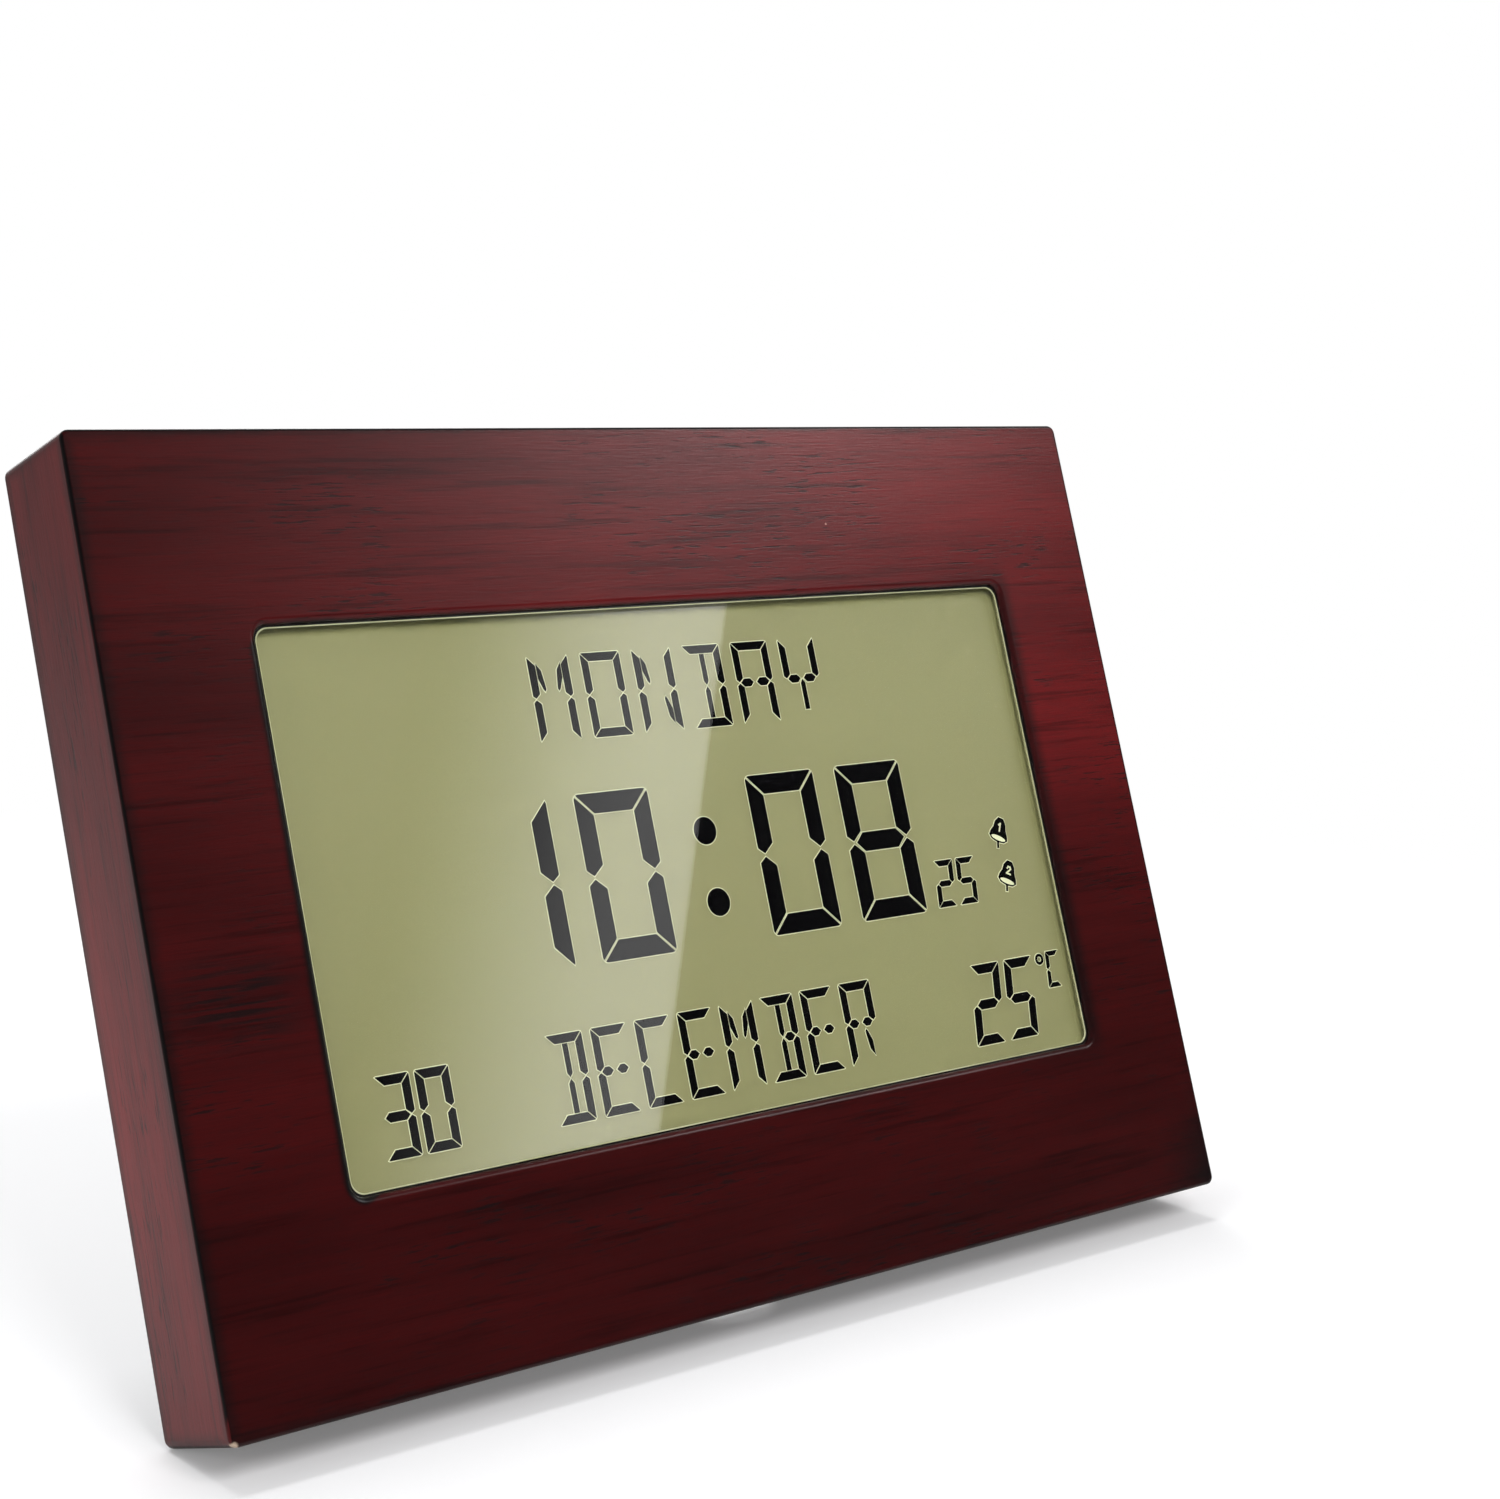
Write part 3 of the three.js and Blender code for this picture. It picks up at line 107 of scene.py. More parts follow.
# The case's place: the wall mount's point and its outward axis say how the case leans
WALL_POINT = Vector((30, 0, 66))
wall_mount = next(mount for mount in frame["record"]["mounts"] if mount["name"] == "wall_back")
lean = atan2(-wall_mount["axis"][2], wall_mount["axis"][1])
case_place = (Matrix.Translation(Vector(wall_mount["pos_m"])) @ Matrix.Rotation(-lean, 4, "X")
              @ Matrix.Scale(MM, 4) @ Matrix.Translation(-WALL_POINT))
case_origin = case_place @ Vector((0, 0, 0))
stand_pivot = case_place.inverted() @ Vector(joints["stand_hinge"]["pos_m"])
stand_open = -radians(joints["stand_hinge"]["range_deg"][0])
stand_place = Matrix.Translation(stand_pivot) @ Matrix.Rotation(stand_open, 4, "X")


# Modelling helpers
AXES = {"X": (Vector((1, 0, 0)), Matrix.Rotation(pi / 2, 4, "Y")),
        "Y": (Vector((0, 1, 0)), Matrix.Rotation(pi / 2, 4, "X")),
        "Z": (Vector((0, 0, 1)), Matrix())}
PAST = 1            # how far a cutting tool reaches past the surface that it opens
OVERLAP = 0.2       # how far two tools or two joined pieces run into each other
HAIR = 0.01         # how near a corner counts as lying on a plane
ALONG = 0.999       # how straight an edge runs along an axis


def only(piece):
    """Makes one object the only selected one."""
    bpy.ops.object.select_all(action="DESELECT")
    piece.select_set(True)
    bpy.context.view_layer.objects.active = piece


def placed(name, data):
    """A new object in the scene for a mesh, a lamp or a camera."""
    piece = bpy.data.objects.new(name, data)
    bpy.context.scene.collection.objects.link(piece)
    return piece


def drawn(name, corners, edges=(), faces=()):
    """A new mesh object from its corners and the edges or faces between them."""
    mesh = bpy.data.meshes.new(name)
    mesh.from_pydata(corners, edges, faces)
    return placed(name, mesh)


@contextmanager
def editing(piece, kind="EDGE", select="DESELECT"):
    """Edit mode on one piece, with all of it selected or nothing."""
    only(piece)
    bpy.ops.object.mode_set(mode="EDIT")
    bpy.ops.mesh.select_mode(type=kind)
    bpy.ops.mesh.select_all(action=select)
    yield
    bpy.ops.object.mode_set(mode="OBJECT")


def bevel(piece, radius, segments, test, axis=None):
    """In edit mode, rounds the edges whose two ends pass a test of place, all or those along one axis."""
    mesh = bmesh.from_edit_mesh(piece.data)
    for edge in mesh.edges:
        edge.select_set(False)
    for edge in mesh.edges:
        run = (edge.verts[1].co - edge.verts[0].co).normalized()
        if (axis is None or abs(run[axis]) > ALONG) and all(test(vert.co) for vert in edge.verts):
            edge.select_set(True)
    bmesh.update_edit_mesh(piece.data)
    bpy.ops.mesh.bevel(offset=radius, segments=segments, affect="EDGES")


def primitive(name, add, **settings):
    """A new object from one of Blender's own shapes."""
    bpy.ops.object.select_all(action="DESELECT")
    add(**settings)
    piece = bpy.context.active_object
    piece.name = name
    return piece


def block(name, low, high):
    """A box between two corners."""
    low, high = Vector(low), Vector(high)
    piece = primitive(name, bpy.ops.mesh.primitive_cube_add, size=1, location=(low + high) / 2, scale=high - low)
    bpy.ops.object.transform_apply(location=True, rotation=True, scale=True)
    return piece


def rounded_block(name, low, high, radius, segments=6, test=lambda co: True):
    """A box whose edges from front to back are rounded."""
    piece = block(name, low, high)
    with editing(piece):
        bevel(piece, radius, segments, test, axis=1)
    return piece


def window_block(name, grow, low, high, corner=WINDOW_CORNER, segments=6):
    """A rounded block over the window, larger by a distance all round, from one depth to another."""
    half = Vector((WINDOW_WIDTH / 2, 0, WINDOW_HEIGHT / 2))
    centre = Vector((WINDOW_X, 0, WINDOW_Z))
    reach = Vector((grow, 0, grow))
    return rounded_block(name, centre - half - reach + Vector((0, low, 0)),
                         centre + half + reach + Vector((0, high, 0)), corner, segments)


def cylinder(name, radius, low, high, axis, sides, place=(0, 0, 0)):
    """A round bar from low to high along one axis, at a place across it."""
    piece = primitive(name, bpy.ops.mesh.primitive_cylinder_add, vertices=sides, radius=radius, depth=high - low)
    along, turn = AXES[axis]
    piece.data.transform(Matrix.Translation(Vector(place) + along * (low + high) / 2) @ turn)
    return piece


def modify(piece, kind, **settings):
    """Adds a modifier, sets it and applies it."""
    only(piece)
    step = piece.modifiers.new(kind, kind)
    for key, value in settings.items():
        setattr(step, key, value)
    bpy.ops.object.modifier_apply(modifier=step.name)


def combine(piece, operation, tools):
    for tool in tools:
        modify(piece, "BOOLEAN", operation=operation, solver="EXACT", object=tool)
        bpy.data.objects.remove(tool)


def cut(piece, *tools):
    combine(piece, "DIFFERENCE", tools)


def weld(piece, *tools):
    combine(piece, "UNION", tools)


def soften(piece, width, segments=2, angle=40):
    """Rounds every edge that is sharper than an angle."""
    modify(piece, "BEVEL", width=width, segments=segments, limit_method="ANGLE",
           angle_limit=radians(angle), miter_outer="MITER_ARC")


def smooth(piece, angle=35, weighted=True):
    """Shades a piece smooth, but for edges sharper than an angle."""
    only(piece)
    bpy.ops.object.shade_smooth_by_angle(angle=radians(angle))
    if weighted:
        modify(piece, "WEIGHTED_NORMAL", keep_sharp=True)


def settle(piece, body, slot, stands_for=(), finish=None, place=case_place):
    """Moves a finished piece to its place in the frame, gives it its slot's material and ties it to its body."""
    piece.data.transform(place)
    piece.data.materials.clear()
    piece.data.materials.append(finish or finishes[slot])
    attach(piece, body)
    if stands_for:
        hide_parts(*stands_for)


# Shader helpers
def colour(red, green, blue):
    """A colour given as seen on a screen, 0 to 255, in the linear values that Blender takes."""
    def linear(value):
        value /= 255
        return value / 12.92 if value <= 0.04045 else ((value + 0.055) / 1.055) ** 2.4
    return (linear(red), linear(green), linear(blue), 1)


class Value:
    """An output in a node tree, so that shader arithmetic reads like arithmetic."""

    def __init__(self, maker, socket):
        self.maker, self.socket = maker, socket

    def __add__(self, other):
        return self.maker.math("ADD", self, other)

    def __sub__(self, other):
        return self.maker.math("SUBTRACT", self, other)

    def __rsub__(self, other):
        return self.maker.math("SUBTRACT", other, self)

    def __mul__(self, other):
        return self.maker.math("MULTIPLY", self, other)

    def __truediv__(self, other):
        return self.maker.math("DIVIDE", self, other)

    def __abs__(self):
        return self.maker.math("ABSOLUTE", self)

    def step(self, start, end, low=0.0, high=1.0):
        """A smooth step from low to high while the value goes from start to end."""
        numbers = enumerate((self, start, end, low, high))
        node = self.maker.add("ShaderNodeMapRange", numbers, interpolation_type="SMOOTHSTEP")
        return Value(self.maker, node.outputs[0])


class Nodes:
    """Short ways to add and link the nodes of one tree."""

    def __init__(self, tree):
        self.tree = tree

    def add(self, kind, inputs=(), **settings):
        """A new node with its settings, and its inputs fed by number or name."""
        node = self.tree.nodes.new(kind)
        for key, value in settings.items():
            setattr(node, key, value)
        for key, value in dict(inputs).items():
            self.feed(node.inputs[key], value)
        return node

    def feed(self, socket, value):
        """Links an output, or a node's first output, to a socket, or sets the socket to a plain value."""
        if isinstance(value, Value):
            value = value.socket
        elif isinstance(value, bpy.types.Node):
            value = value.outputs[0]
        if isinstance(value, bpy.types.NodeSocket):
            self.tree.links.new(value, socket)
        else:
            socket.default_value = value

    def dress(self, node, **values):
        """Feeds a node's sockets, given by their names in lower case."""
        for key, value in values.items():
            self.feed(node.inputs[key.replace("_", " ").title().replace("Ior", "IOR")], value)

    def use(self, tree, **values):
        """Places an effect with its own values and gives its outputs."""
        node = self.add("ShaderNodeGroup", node_tree=tree)
        self.dress(node, **values)
        return {part.name: Value(self, part) for part in node.outputs}

    def math(self, operation, *values):
        node = self.add("ShaderNodeMath", enumerate(values), operation=operation)
        return Value(self, node.outputs[0])

    def most(self, first, second):
        return self.math("MAXIMUM", first, second)

    def mix(self, factor, first, second, blend="MIX"):
        node = self.add("ShaderNodeMix", {0: factor, 6: first, 7: second}, data_type="RGBA", blend_type=blend)
        return node.outputs[2]

    def noise(self, vector, scale, detail, roughness):
        node = self.add("ShaderNodeTexNoise",
                        {"Vector": vector, "Scale": scale, "Detail": detail, "Roughness": roughness})
        return Value(self, node.outputs[0])

    def stretched(self, vector, scale):
        """The vector with each axis multiplied by its own number."""
        return self.add("ShaderNodeVectorMath", {0: vector, 1: scale}, operation="MULTIPLY")

    def parts(self, vector):
        return [Value(self, part) for part in self.add("ShaderNodeSeparateXYZ", {0: vector}).outputs]

    def bump(self, shader, height, strength, distance):
        node = self.add("ShaderNodeBump", {"Strength": strength, "Distance": distance, "Height": height})
        self.feed(shader.inputs["Normal"], node)

    def object_place(self):
        return self.add("ShaderNodeTexCoord").outputs["Object"]

    def case_millimetres(self):
        """Object coordinates turned back into the case's own frame, in millimetres."""
        spot = self.object_place()
        return self.add("ShaderNodeMapping", {"Location": case_origin, "Rotation": (-lean, 0, 0),
                                              "Scale": (MM, MM, MM), "Vector": spot}, vector_type="TEXTURE")

    def surface(self, shader):
        """Makes a shader the material's surface."""
        self.feed(self.tree.nodes["Material Output"].inputs["Surface"], shader)


def effect(name, inputs, outputs):
    """An empty node group with its sockets: the tree, its maker, its inputs' values and its last node."""
    tree = bpy.data.node_groups.new(name, "ShaderNodeTree")
    for label, value in inputs.items():
        kind = "NodeSocketFloat" if isinstance(value, float) else "NodeSocketColor"
        tree.interface.new_socket(label, in_out="INPUT", socket_type=kind).default_value = value
    for label in outputs:
        kind = "NodeSocketColor" if label == "Color" else "NodeSocketFloat"
        tree.interface.new_socket(label, in_out="OUTPUT", socket_type=kind)
    maker = Nodes(tree)
    start = maker.add("NodeGroupInput")
    given = {label: Value(maker, start.outputs[label]) for label in inputs}
    return tree, maker, given, maker.add("NodeGroupOutput")


def material(name, base_color=(0.5, 0.5, 0.5, 1), roughness=0.5, metallic=0.0, **others):
    """A material with one Principled shader, whose sockets are given by their names in lower case."""
    finish = bpy.data.materials.new(name)
    finish.use_nodes = True
    maker = Nodes(finish.node_tree)
    shader = finish.node_tree.nodes["Principled BSDF"]
    maker.dress(shader, base_color=base_color, roughness=roughness, metallic=metallic, **others)
    return finish, maker, shader


# Shared effects
FACE_TURN = (-22.5, -20.5)      # the depths between which the face's painted light and painted shade fade out on the sides


def grain_and_painted_light_effect():
    """Stained wood: soft clouds, fine fibres, and clusters of slender dark pores along the grain, with painted
    light and painted shade over the face and sides.
    """
    tree, maker, given, out = effect(
        "wood_grain_and_painted_light", {"Light": colour(80, 13, 15), "Dark": colour(60, 8, 10), "Black": colour(16, 8, 9)},
        ("Color", "Height"))
    place = maker.case_millimetres()
    x, y, z = maker.parts(place)
    # the grain runs across, but up the two side rails
    side = maker.math("GREATER_THAN", abs(x), CASE_WIDTH / 2 - 0.4)
    upright = maker.add("ShaderNodeCombineXYZ", {0: z, 1: y, 2: x})
    run = maker.add("ShaderNodeMix", {0: side, 4: place, 5: upright}, data_type="VECTOR")

    def fibre(length, width, detail, roughness):
        """Noise drawn out along the grain."""
        return maker.noise(maker.stretched(run.outputs[1], (length, width, width)), 1, detail, roughness)

    clouds = fibre(0.009, 0.035, 3, 0.5)
    bands = fibre(0.013, 0.26, 4, 0.6)
    fibres = fibre(0.16, 3.2, 4, 0.65)
    pores = fibre(0.14, 1.75, 3, 0.62)
    streaks = fibre(0.028, 0.75, 4, 0.6)
    cluster = fibre(0.022, 0.055, 3, 0.6)
    tone = clouds * 0.72 + bands * 0.28
    body = maker.mix(tone.step(0.34, 0.66), given["Dark"], given["Light"])
    body = maker.mix(1.0, body, fibres.step(0.3, 0.72, 0.9, 1.08), "MULTIPLY")
    body = maker.mix(1.0, body, streaks.step(0.52, 0.7, 1.04, 0.6), "MULTIPLY")
    # painted light: the colour is lighter towards the upper right of the face, where the lamps' highlight falls,
    # and lighter on the sides, more so low down; painted shade darkens it towards the bottom, and the top face is
    # made lighter
    painted_light_share = x.step(-112, 30) * z.step(-45, 45)
    painted_light_share = painted_light_share * y.step(*FACE_TURN, 1, 0.35)
    painted_light_share = maker.most(painted_light_share, side * z.step(-80, 80, 1.25, 0.6))
    painted_light_share = painted_light_share + z.step(-80, 0, -0.1, 0)
    painted_light_share = painted_light_share + z.step(CASE_HEIGHT / 2 - 0.3, CASE_HEIGHT / 2 - 0.05, 0, 0.5)
    body = maker.mix(1.0, body, maker.math("MULTIPLY_ADD", painted_light_share, 1.16, 0.63), "MULTIPLY")
    dash = pores.step(0.56, 0.64) * cluster.step(0.46, 0.6, 0.12, 1)
    # a bundle of dark streaks half way up the left margin
    left = abs(x + 101.0).step(3, 15, 1, 0)
    height = abs(z + 14.0).step(2, 11, 1, 0)
    burnt = fibre(0.05, 0.85, 4, 0.6)
    knot = left * height * burnt.step(0.44, 0.6)
    dark = maker.most(dash * 0.78, knot * 0.85)
    body = maker.mix(dark, body, given["Black"])
    # a few specks of dust in the lacquer
    specks = maker.add("ShaderNodeTexVoronoi", {"Vector": place, "Scale": 0.065})
    kept = maker.math("GREATER_THAN", maker.parts(specks.outputs["Color"])[0], 0.55)
    speck = Value(maker, specks.outputs["Distance"]).step(0.012, 0.02, 0.75, 0) * kept
    body = maker.mix(speck, body, colour(190, 140, 128))
    maker.dress(out, color=body, height=fibres - dark * 0.6)
    return tree


def rim_and_painted_shade_effect():
    """How dark the finisher stained a point near the case's edges, how dark the wood is round the window, the
    painted shade in the face's lower right corner, and the chip at a corner.
    """
    tree, maker, given, out = effect("dark_edges_and_painted_shade", {"Reach": 2.5}, ("Edge", "Chip"))
    place = maker.case_millimetres()
    x, y, z = maker.parts(place)
    wander = maker.noise(maker.stretched(place, (0.11, 0.11, 0.11)), 1, 4, 0.65) - 0.5
    from_side = CASE_WIDTH / 2 - abs(x)
    from_end = CASE_HEIGHT / 2 - abs(z)
    from_face = y + CASE_DEPTH
    from_back = 0.0 - y
    near = maker.most(from_side, from_end)
    for depth in (from_face, from_back):
        for across in (from_side, from_end):
            near = maker.math("MINIMUM", near, maker.most(across, depth))
    reach = given["Reach"] * x.step(-113, -60, 1.0, 0.42)
    fade = ((near + wander * 2.2) / reach).step(0.12, 1.0, 0.6, 0)
    worn = near + wander * 0.5
    black = worn.step(0.35, 0.95, 1, 0) * z.step(-80, -77, 0.25, 1)
    edge = maker.most(fade, black)
    # the stain gathered in the face's lower right corner
    # painted shade: the face darkens towards its lower right corner, where less light falls
    aside = CASE_WIDTH / 2 - x
    painted_corner_shade = aside + (z + CASE_HEIGHT / 2) * 0.55 + wander * 14
    painted_corner_shade = painted_corner_shade.step(1, 19, 0.85, 0) * y.step(*FACE_TURN, 1, 0)
    edge = maker.most(edge, painted_corner_shade)
    # the dark line round the window, wider on its left and narrow under it
    beyond_x = abs(x - WINDOW_X) - WINDOW_WIDTH / 2
    beyond_z = abs(z - WINDOW_Z) - WINDOW_HEIGHT / 2
    round_x = maker.most(beyond_x + WINDOW_CORNER, 0.0)
    round_z = maker.most(beyond_z + WINDOW_CORNER, 0.0)
    squares = round_x * round_x + round_z * round_z
    from_window = maker.math("SQRT", squares) - WINDOW_CORNER + wander * 0.7
    left = x.step(-84, -80, 1, 0) * z.step(44, 47, 1, 0)
    under = z.step(-48, -45, 0.4, 0)
    line_end = maker.math("MULTIPLY_ADD", left, 1.6, 0.6) - under
    line = from_window.step(maker.math("MULTIPLY_ADD", left, 0.9, -0.1), line_end, 1, 0)
    # soft burnish beside the window's right edge
    beside = beyond_x.step(0.3, 4.2, 0.75, 0) * x.step(60, 80)
    level = abs(z).step(WINDOW_HEIGHT / 2 - 4, WINDOW_HEIGHT / 2 + 6, 1, 0)
    soft = beside * level
    # the chip at the face's lower left corner
    corner = (0.8 - CASE_WIDTH / 2, 0.6 - CASE_DEPTH, 0.4 - CASE_HEIGHT / 2)
    distance = maker.add("ShaderNodeVectorMath", {0: place, 1: corner}, operation="DISTANCE")
    apart = Value(maker, distance.outputs["Value"]) + wander * 1.6
    maker.dress(out, edge=maker.most(maker.most(edge, line), soft), chip=apart.step(0.5, 0.95, 0.9, 0))
    return tree


def speckle_effect():
    """The fine spark-eroded texture of moulded plastic."""
    tree, maker, given, out = effect("moulded_texture", {"Scale": 1400.0}, ("Height", "Mask"))
    spot = maker.object_place()
    fine = maker.noise(spot, given["Scale"], 3, 0.65)
    broad = maker.noise(spot, 26, 3, 0.55)
    maker.dress(out, height=fine, mask=broad.step(0.35, 0.68))
    return tree


wood_grain_and_painted_light = grain_and_painted_light_effect()
dark_edges_and_painted_shade = rim_and_painted_shade_effect()
moulded_texture = speckle_effect()


# Materials
METAL_TEXTURE = 240.0


def mahogany():
    finish, maker, shader = material("mahogany_lacquer", roughness=0.3, specular_ior_level=0.18)
    grain = maker.use(wood_grain_and_painted_light)
    edges = maker.use(dark_edges_and_painted_shade, reach=3.2)
    shaded = maker.mix(edges["Edge"], grain["Color"], colour(13, 9, 10))
    shaded = maker.mix(edges["Chip"], shaded, colour(188, 166, 146))
    maker.dress(shader, base_color=shaded, roughness=grain["Height"].step(0.2, 0.9, 0.36, 0.27))
    maker.bump(shader, grain["Height"], 0.12, 0.0002)
    return finish


def plastic(name, base, light, texture, roughness, strength, distance, speckle=0.0, gloss=0.5):
    """A moulded plastic: two near colours, a fine texture and slightly uneven gloss."""
    base, light = colour(*base), colour(*light)
    finish, maker, shader = material(name, base_color=base, roughness=roughness, specular_ior_level=gloss)
    grain = maker.use(moulded_texture, scale=texture)
    if speckle:
        share = grain["Height"].step(0.5, 0.68, 0, speckle)
    else:
        share = grain["Mask"] * 0.5
    maker.dress(shader, base_color=maker.mix(share, base, light),
                roughness=grain["Mask"].step(0, 1, roughness - 0.05, roughness + 0.06))
    maker.bump(shader, grain["Height"], strength, distance)
    return finish


def metal(name, base, roughness, spread=0.08):
    """A metal whose polish varies a little over its surface."""
    base = colour(*base)
    finish, maker, shader = material(name, base_color=base, roughness=roughness, metallic=1.0)
    grain = maker.use(moulded_texture, scale=METAL_TEXTURE)
    polish = grain["Height"].step(0.3, 0.7, roughness - spread, roughness + spread)
    dull = tuple(channel * 0.7 for channel in base[:3]) + (1,)
    maker.dress(shader, roughness=polish,
                base_color=maker.mix(grain["Mask"] * 0.25, base, dull))
    return finish


def display_panel():
    """The reflective panel behind the segments."""
    finish, maker, shader = material(
        "display_panel", roughness=0.6, coat_weight=1.0, coat_roughness=0.03, coat_ior=2.0)
    spot = maker.object_place()
    cloud = maker.noise(spot, 9, 2, 0.5)
    grain = maker.noise(spot, 5200, 1, 0.5)
    tone = maker.mix(cloud.step(0.3, 0.7), colour(125, 124, 79), colour(128, 128, 82))
    maker.dress(shader, base_color=maker.mix(grain.step(0.3, 0.75, 0, 0.12), tone, colour(156, 158, 110)))
    return finish


def clear_lens():
    """Clear plastic that lets the lamps' light through to the display."""
    finish, maker, shader = material(
        "clear_plastic", base_color=(1, 1, 1, 1), roughness=0.0, transmission_weight=1.0, ior=1.49)
    smudge = maker.use(moulded_texture, scale=60.0)
    maker.dress(shader, roughness=smudge["Mask"].step(0, 1, 0.0, 0.012))
    clear = maker.add("ShaderNodeBsdfTransparent")
    path = maker.add("ShaderNodeLightPath")
    maker.surface(maker.add("ShaderNodeMixShader", {0: path.outputs["Is Shadow Ray"], 1: shader, 2: clear}))
    return finish


# Name, two colours, texture's scale, roughness, texture's strength and depth, share of speckles and gloss
PLASTICS = [
    ("grey_plastic", (176, 176, 170), (190, 190, 184), 1400.0, 0.6, 0.1, 0.0001),
    ("ribbon_film", (190, 132, 60), (210, 160, 90), 500.0, 0.35, 0.05, 0.0001),
    ("black_plastic", (33, 30, 27), (42, 38, 34), 2400.0, 0.46, 0.35, 0.0002, 0.0, 0.32),
    ("stand_plastic", (48, 42, 36), (118, 109, 95), 2500.0, 0.38, 0.8, 0.0004, 1.0, 0.4),
    ("cell_jacket", (52, 88, 138), (60, 98, 150), 900.0, 0.35, 0.04, 0.0001),
    ("black_epoxy", (26, 26, 27), (34, 34, 35), 1200.0, 0.4, 0.15, 0.0001),
    ("circuit_green", (34, 92, 54), (44, 108, 62), 700.0, 0.4, 0.1, 0.0001),
    ("foam", (48, 48, 48), (64, 64, 64), 1600.0, 0.95, 0.8, 0.0004),
    ("lead_insulation", (150, 30, 30), (168, 44, 40), 400.0, 0.4, 0.03, 0.0001),
    ("gasket", (17, 15, 14), (22, 20, 19), 900.0, 0.3, 0.1, 0.0001),
]
# Name, colour, roughness and its spread
METALS = [
    ("dark_steel", (40, 38, 37), 0.4),
    ("steel", (186, 184, 180), 0.28),
    ("chrome", (206, 206, 204), 0.2, 0.05),
    ("brass", (206, 168, 92), 0.3),
    ("sounder_disc", (58, 50, 36), 0.5),
]
finishes = {
    "mahogany": mahogany(),
    "raw_wood": plastic("sawn_wood", (176, 138, 94), (196, 160, 118), 300.0, 0.8, 0.3, 0.0003),
    "clear_plastic": clear_lens(),
    "display_glass": display_panel(),
}
for row in PLASTICS:
    finishes[row[0]] = plastic(*row)
for row in METALS:
    finishes[row[0]] = metal(*row)
slots = {part["node"]: part["material_slot"] for part in frame["record"]["subparts"]}
for node_name, node in nodes.items():
    node.data.materials.clear()
    node.data.materials.append(finishes["sounder_disc" if node_name == "sounder" else slots[node_name]])


# Camera, from the photograph's corners
CAMERA_PLACE = Vector((-0.304845, -0.394890, 0.173824))
CAMERA_LOOK = Vector((0.629074, 0.764709, -0.139591))
CAMERA_UP = Vector((0.078549, 0.116121, 0.990124))
CAMERA_LENS = 64.077


def place_camera():
    data = bpy.data.cameras.new("camera")
    data.lens = CAMERA_LENS
    data.sensor_width = 36        # millimetres
    data.clip_start = 0.01
    camera = placed("camera", data)
    back = -CAMERA_LOOK.normalized()
    right = CAMERA_UP.cross(back).normalized()
    up = back.cross(right)
    camera.matrix_world = Matrix.Translation(CAMERA_PLACE) @ Matrix((right, up, back)).transposed().to_4x4()
    bpy.context.scene.camera = camera


# Wooden case
def build_case():
    half_x, half_z = CASE_WIDTH / 2, CASE_HEIGHT / 2
    case = rounded_block("wooden_case", (-half_x, -CASE_DEPTH, -half_z), (half_x, 0, half_z), CASE_CORNER)
    with editing(case):
        bevel(case, FRONT_ROUND, 4, lambda co: co.y < HAIR - CASE_DEPTH)
        bevel(case, BACK_ROUND, 3, lambda co: co.y > -HAIR)

    lip_inner = BOARD_LIP - CASE_DEPTH
    board_back = BOARD - CASE_DEPTH
    window = window_block("window", 0, -CASE_DEPTH - PAST, lip_inner + OVERLAP, segments=8)
    pocket = window_block("pocket", LENS_FLANGE + GAP, lip_inner, board_back + OVERLAP)
    hollow = block("hollow", (RAIL - half_x, board_back, RAIL - half_z), (half_x - RAIL, PAST, half_z - RAIL))
    cut(case, window, pocket, hollow)

    rebate_x, rebate_z = half_x - COVER_MARGIN, half_z - COVER_MARGIN
    rebate = rounded_block("rebate", (-rebate_x, -COVER_THICKNESS - GAP, -rebate_z),
                           (rebate_x, PAST, rebate_z), REBATE_CORNER)
    keep = block("keep", (-RAIL_WINDOW, -CASE_DEPTH, -CASE_HEIGHT), (RAIL_WINDOW, 2, RAIL - half_z + PAST))
    cut(rebate, keep)
    notch = cylinder("notch", 1, -half_z - PAST, RAIL - half_z + PAST, "Z", 64)
    notch.data.transform(Matrix.Diagonal((NOTCH_WIDTH / 2, NOTCH_DEPTH, 1, 1)))
    cut(case, rebate, notch)

    def inside(co):
        return (co.y < HAIR - CASE_DEPTH and abs(co.x - WINDOW_X) < WINDOW_WIDTH / 2 + HAIR
                and abs(co.z - WINDOW_Z) < WINDOW_HEIGHT / 2 + HAIR)
    with editing(case):
        bevel(case, WINDOW_RIM, 5, inside)
    smooth(case, 30)
    settle(case, "case", "mahogany", ("front_board", "top_rail", "left_rail", "right_rail", "bottom_rail"))


# Display
LENS_FRONT = LENS_RECESS - CASE_DEPTH
LENS_FLANGE_FRONT = BOARD_LIP - CASE_DEPTH + GAP
LENS_FLANGE_BACK = LENS_FLANGE_FRONT + LENS_FLANGE_THICKNESS
GLASS_FRONT = LENS_FLANGE_BACK + GLASS_GAP
OUTLINES_BACK = GLASS_FRONT - 0.01
SEGMENTS_BACK = GLASS_FRONT - 0.06
MARKS_BACK = GLASS_FRONT - 0.12


def build_lens():
    lens = window_block("lens_plate", LENS_FLANGE, LENS_FLANGE_FRONT, LENS_FLANGE_BACK)
    step = window_block("step", -GAP, LENS_FRONT, LENS_FLANGE_BACK - OVERLAP, WINDOW_CORNER - GAP, 8)
    weld(lens, step)
    with editing(lens):
        bevel(lens, LENS_ROUND, 2, lambda co: co.y < LENS_FRONT + HAIR)
    smooth(lens, 30)
    settle(lens, "case", "clear_plastic", ("window_lens",))


def window_ring(name, inset, width, depth):
    """A narrow frame just inside the window's opening, on the lens."""
    low, high = LENS_FRONT - depth, LENS_FRONT - RING_GAP
    border = window_block(name, -inset, low, high, segments=10)
    opening = window_block("opening", -inset - width, low - PAST, high + PAST, WINDOW_CORNER + 0.1, 10)
    cut(border, opening)
    smooth(border, 30)
    return border


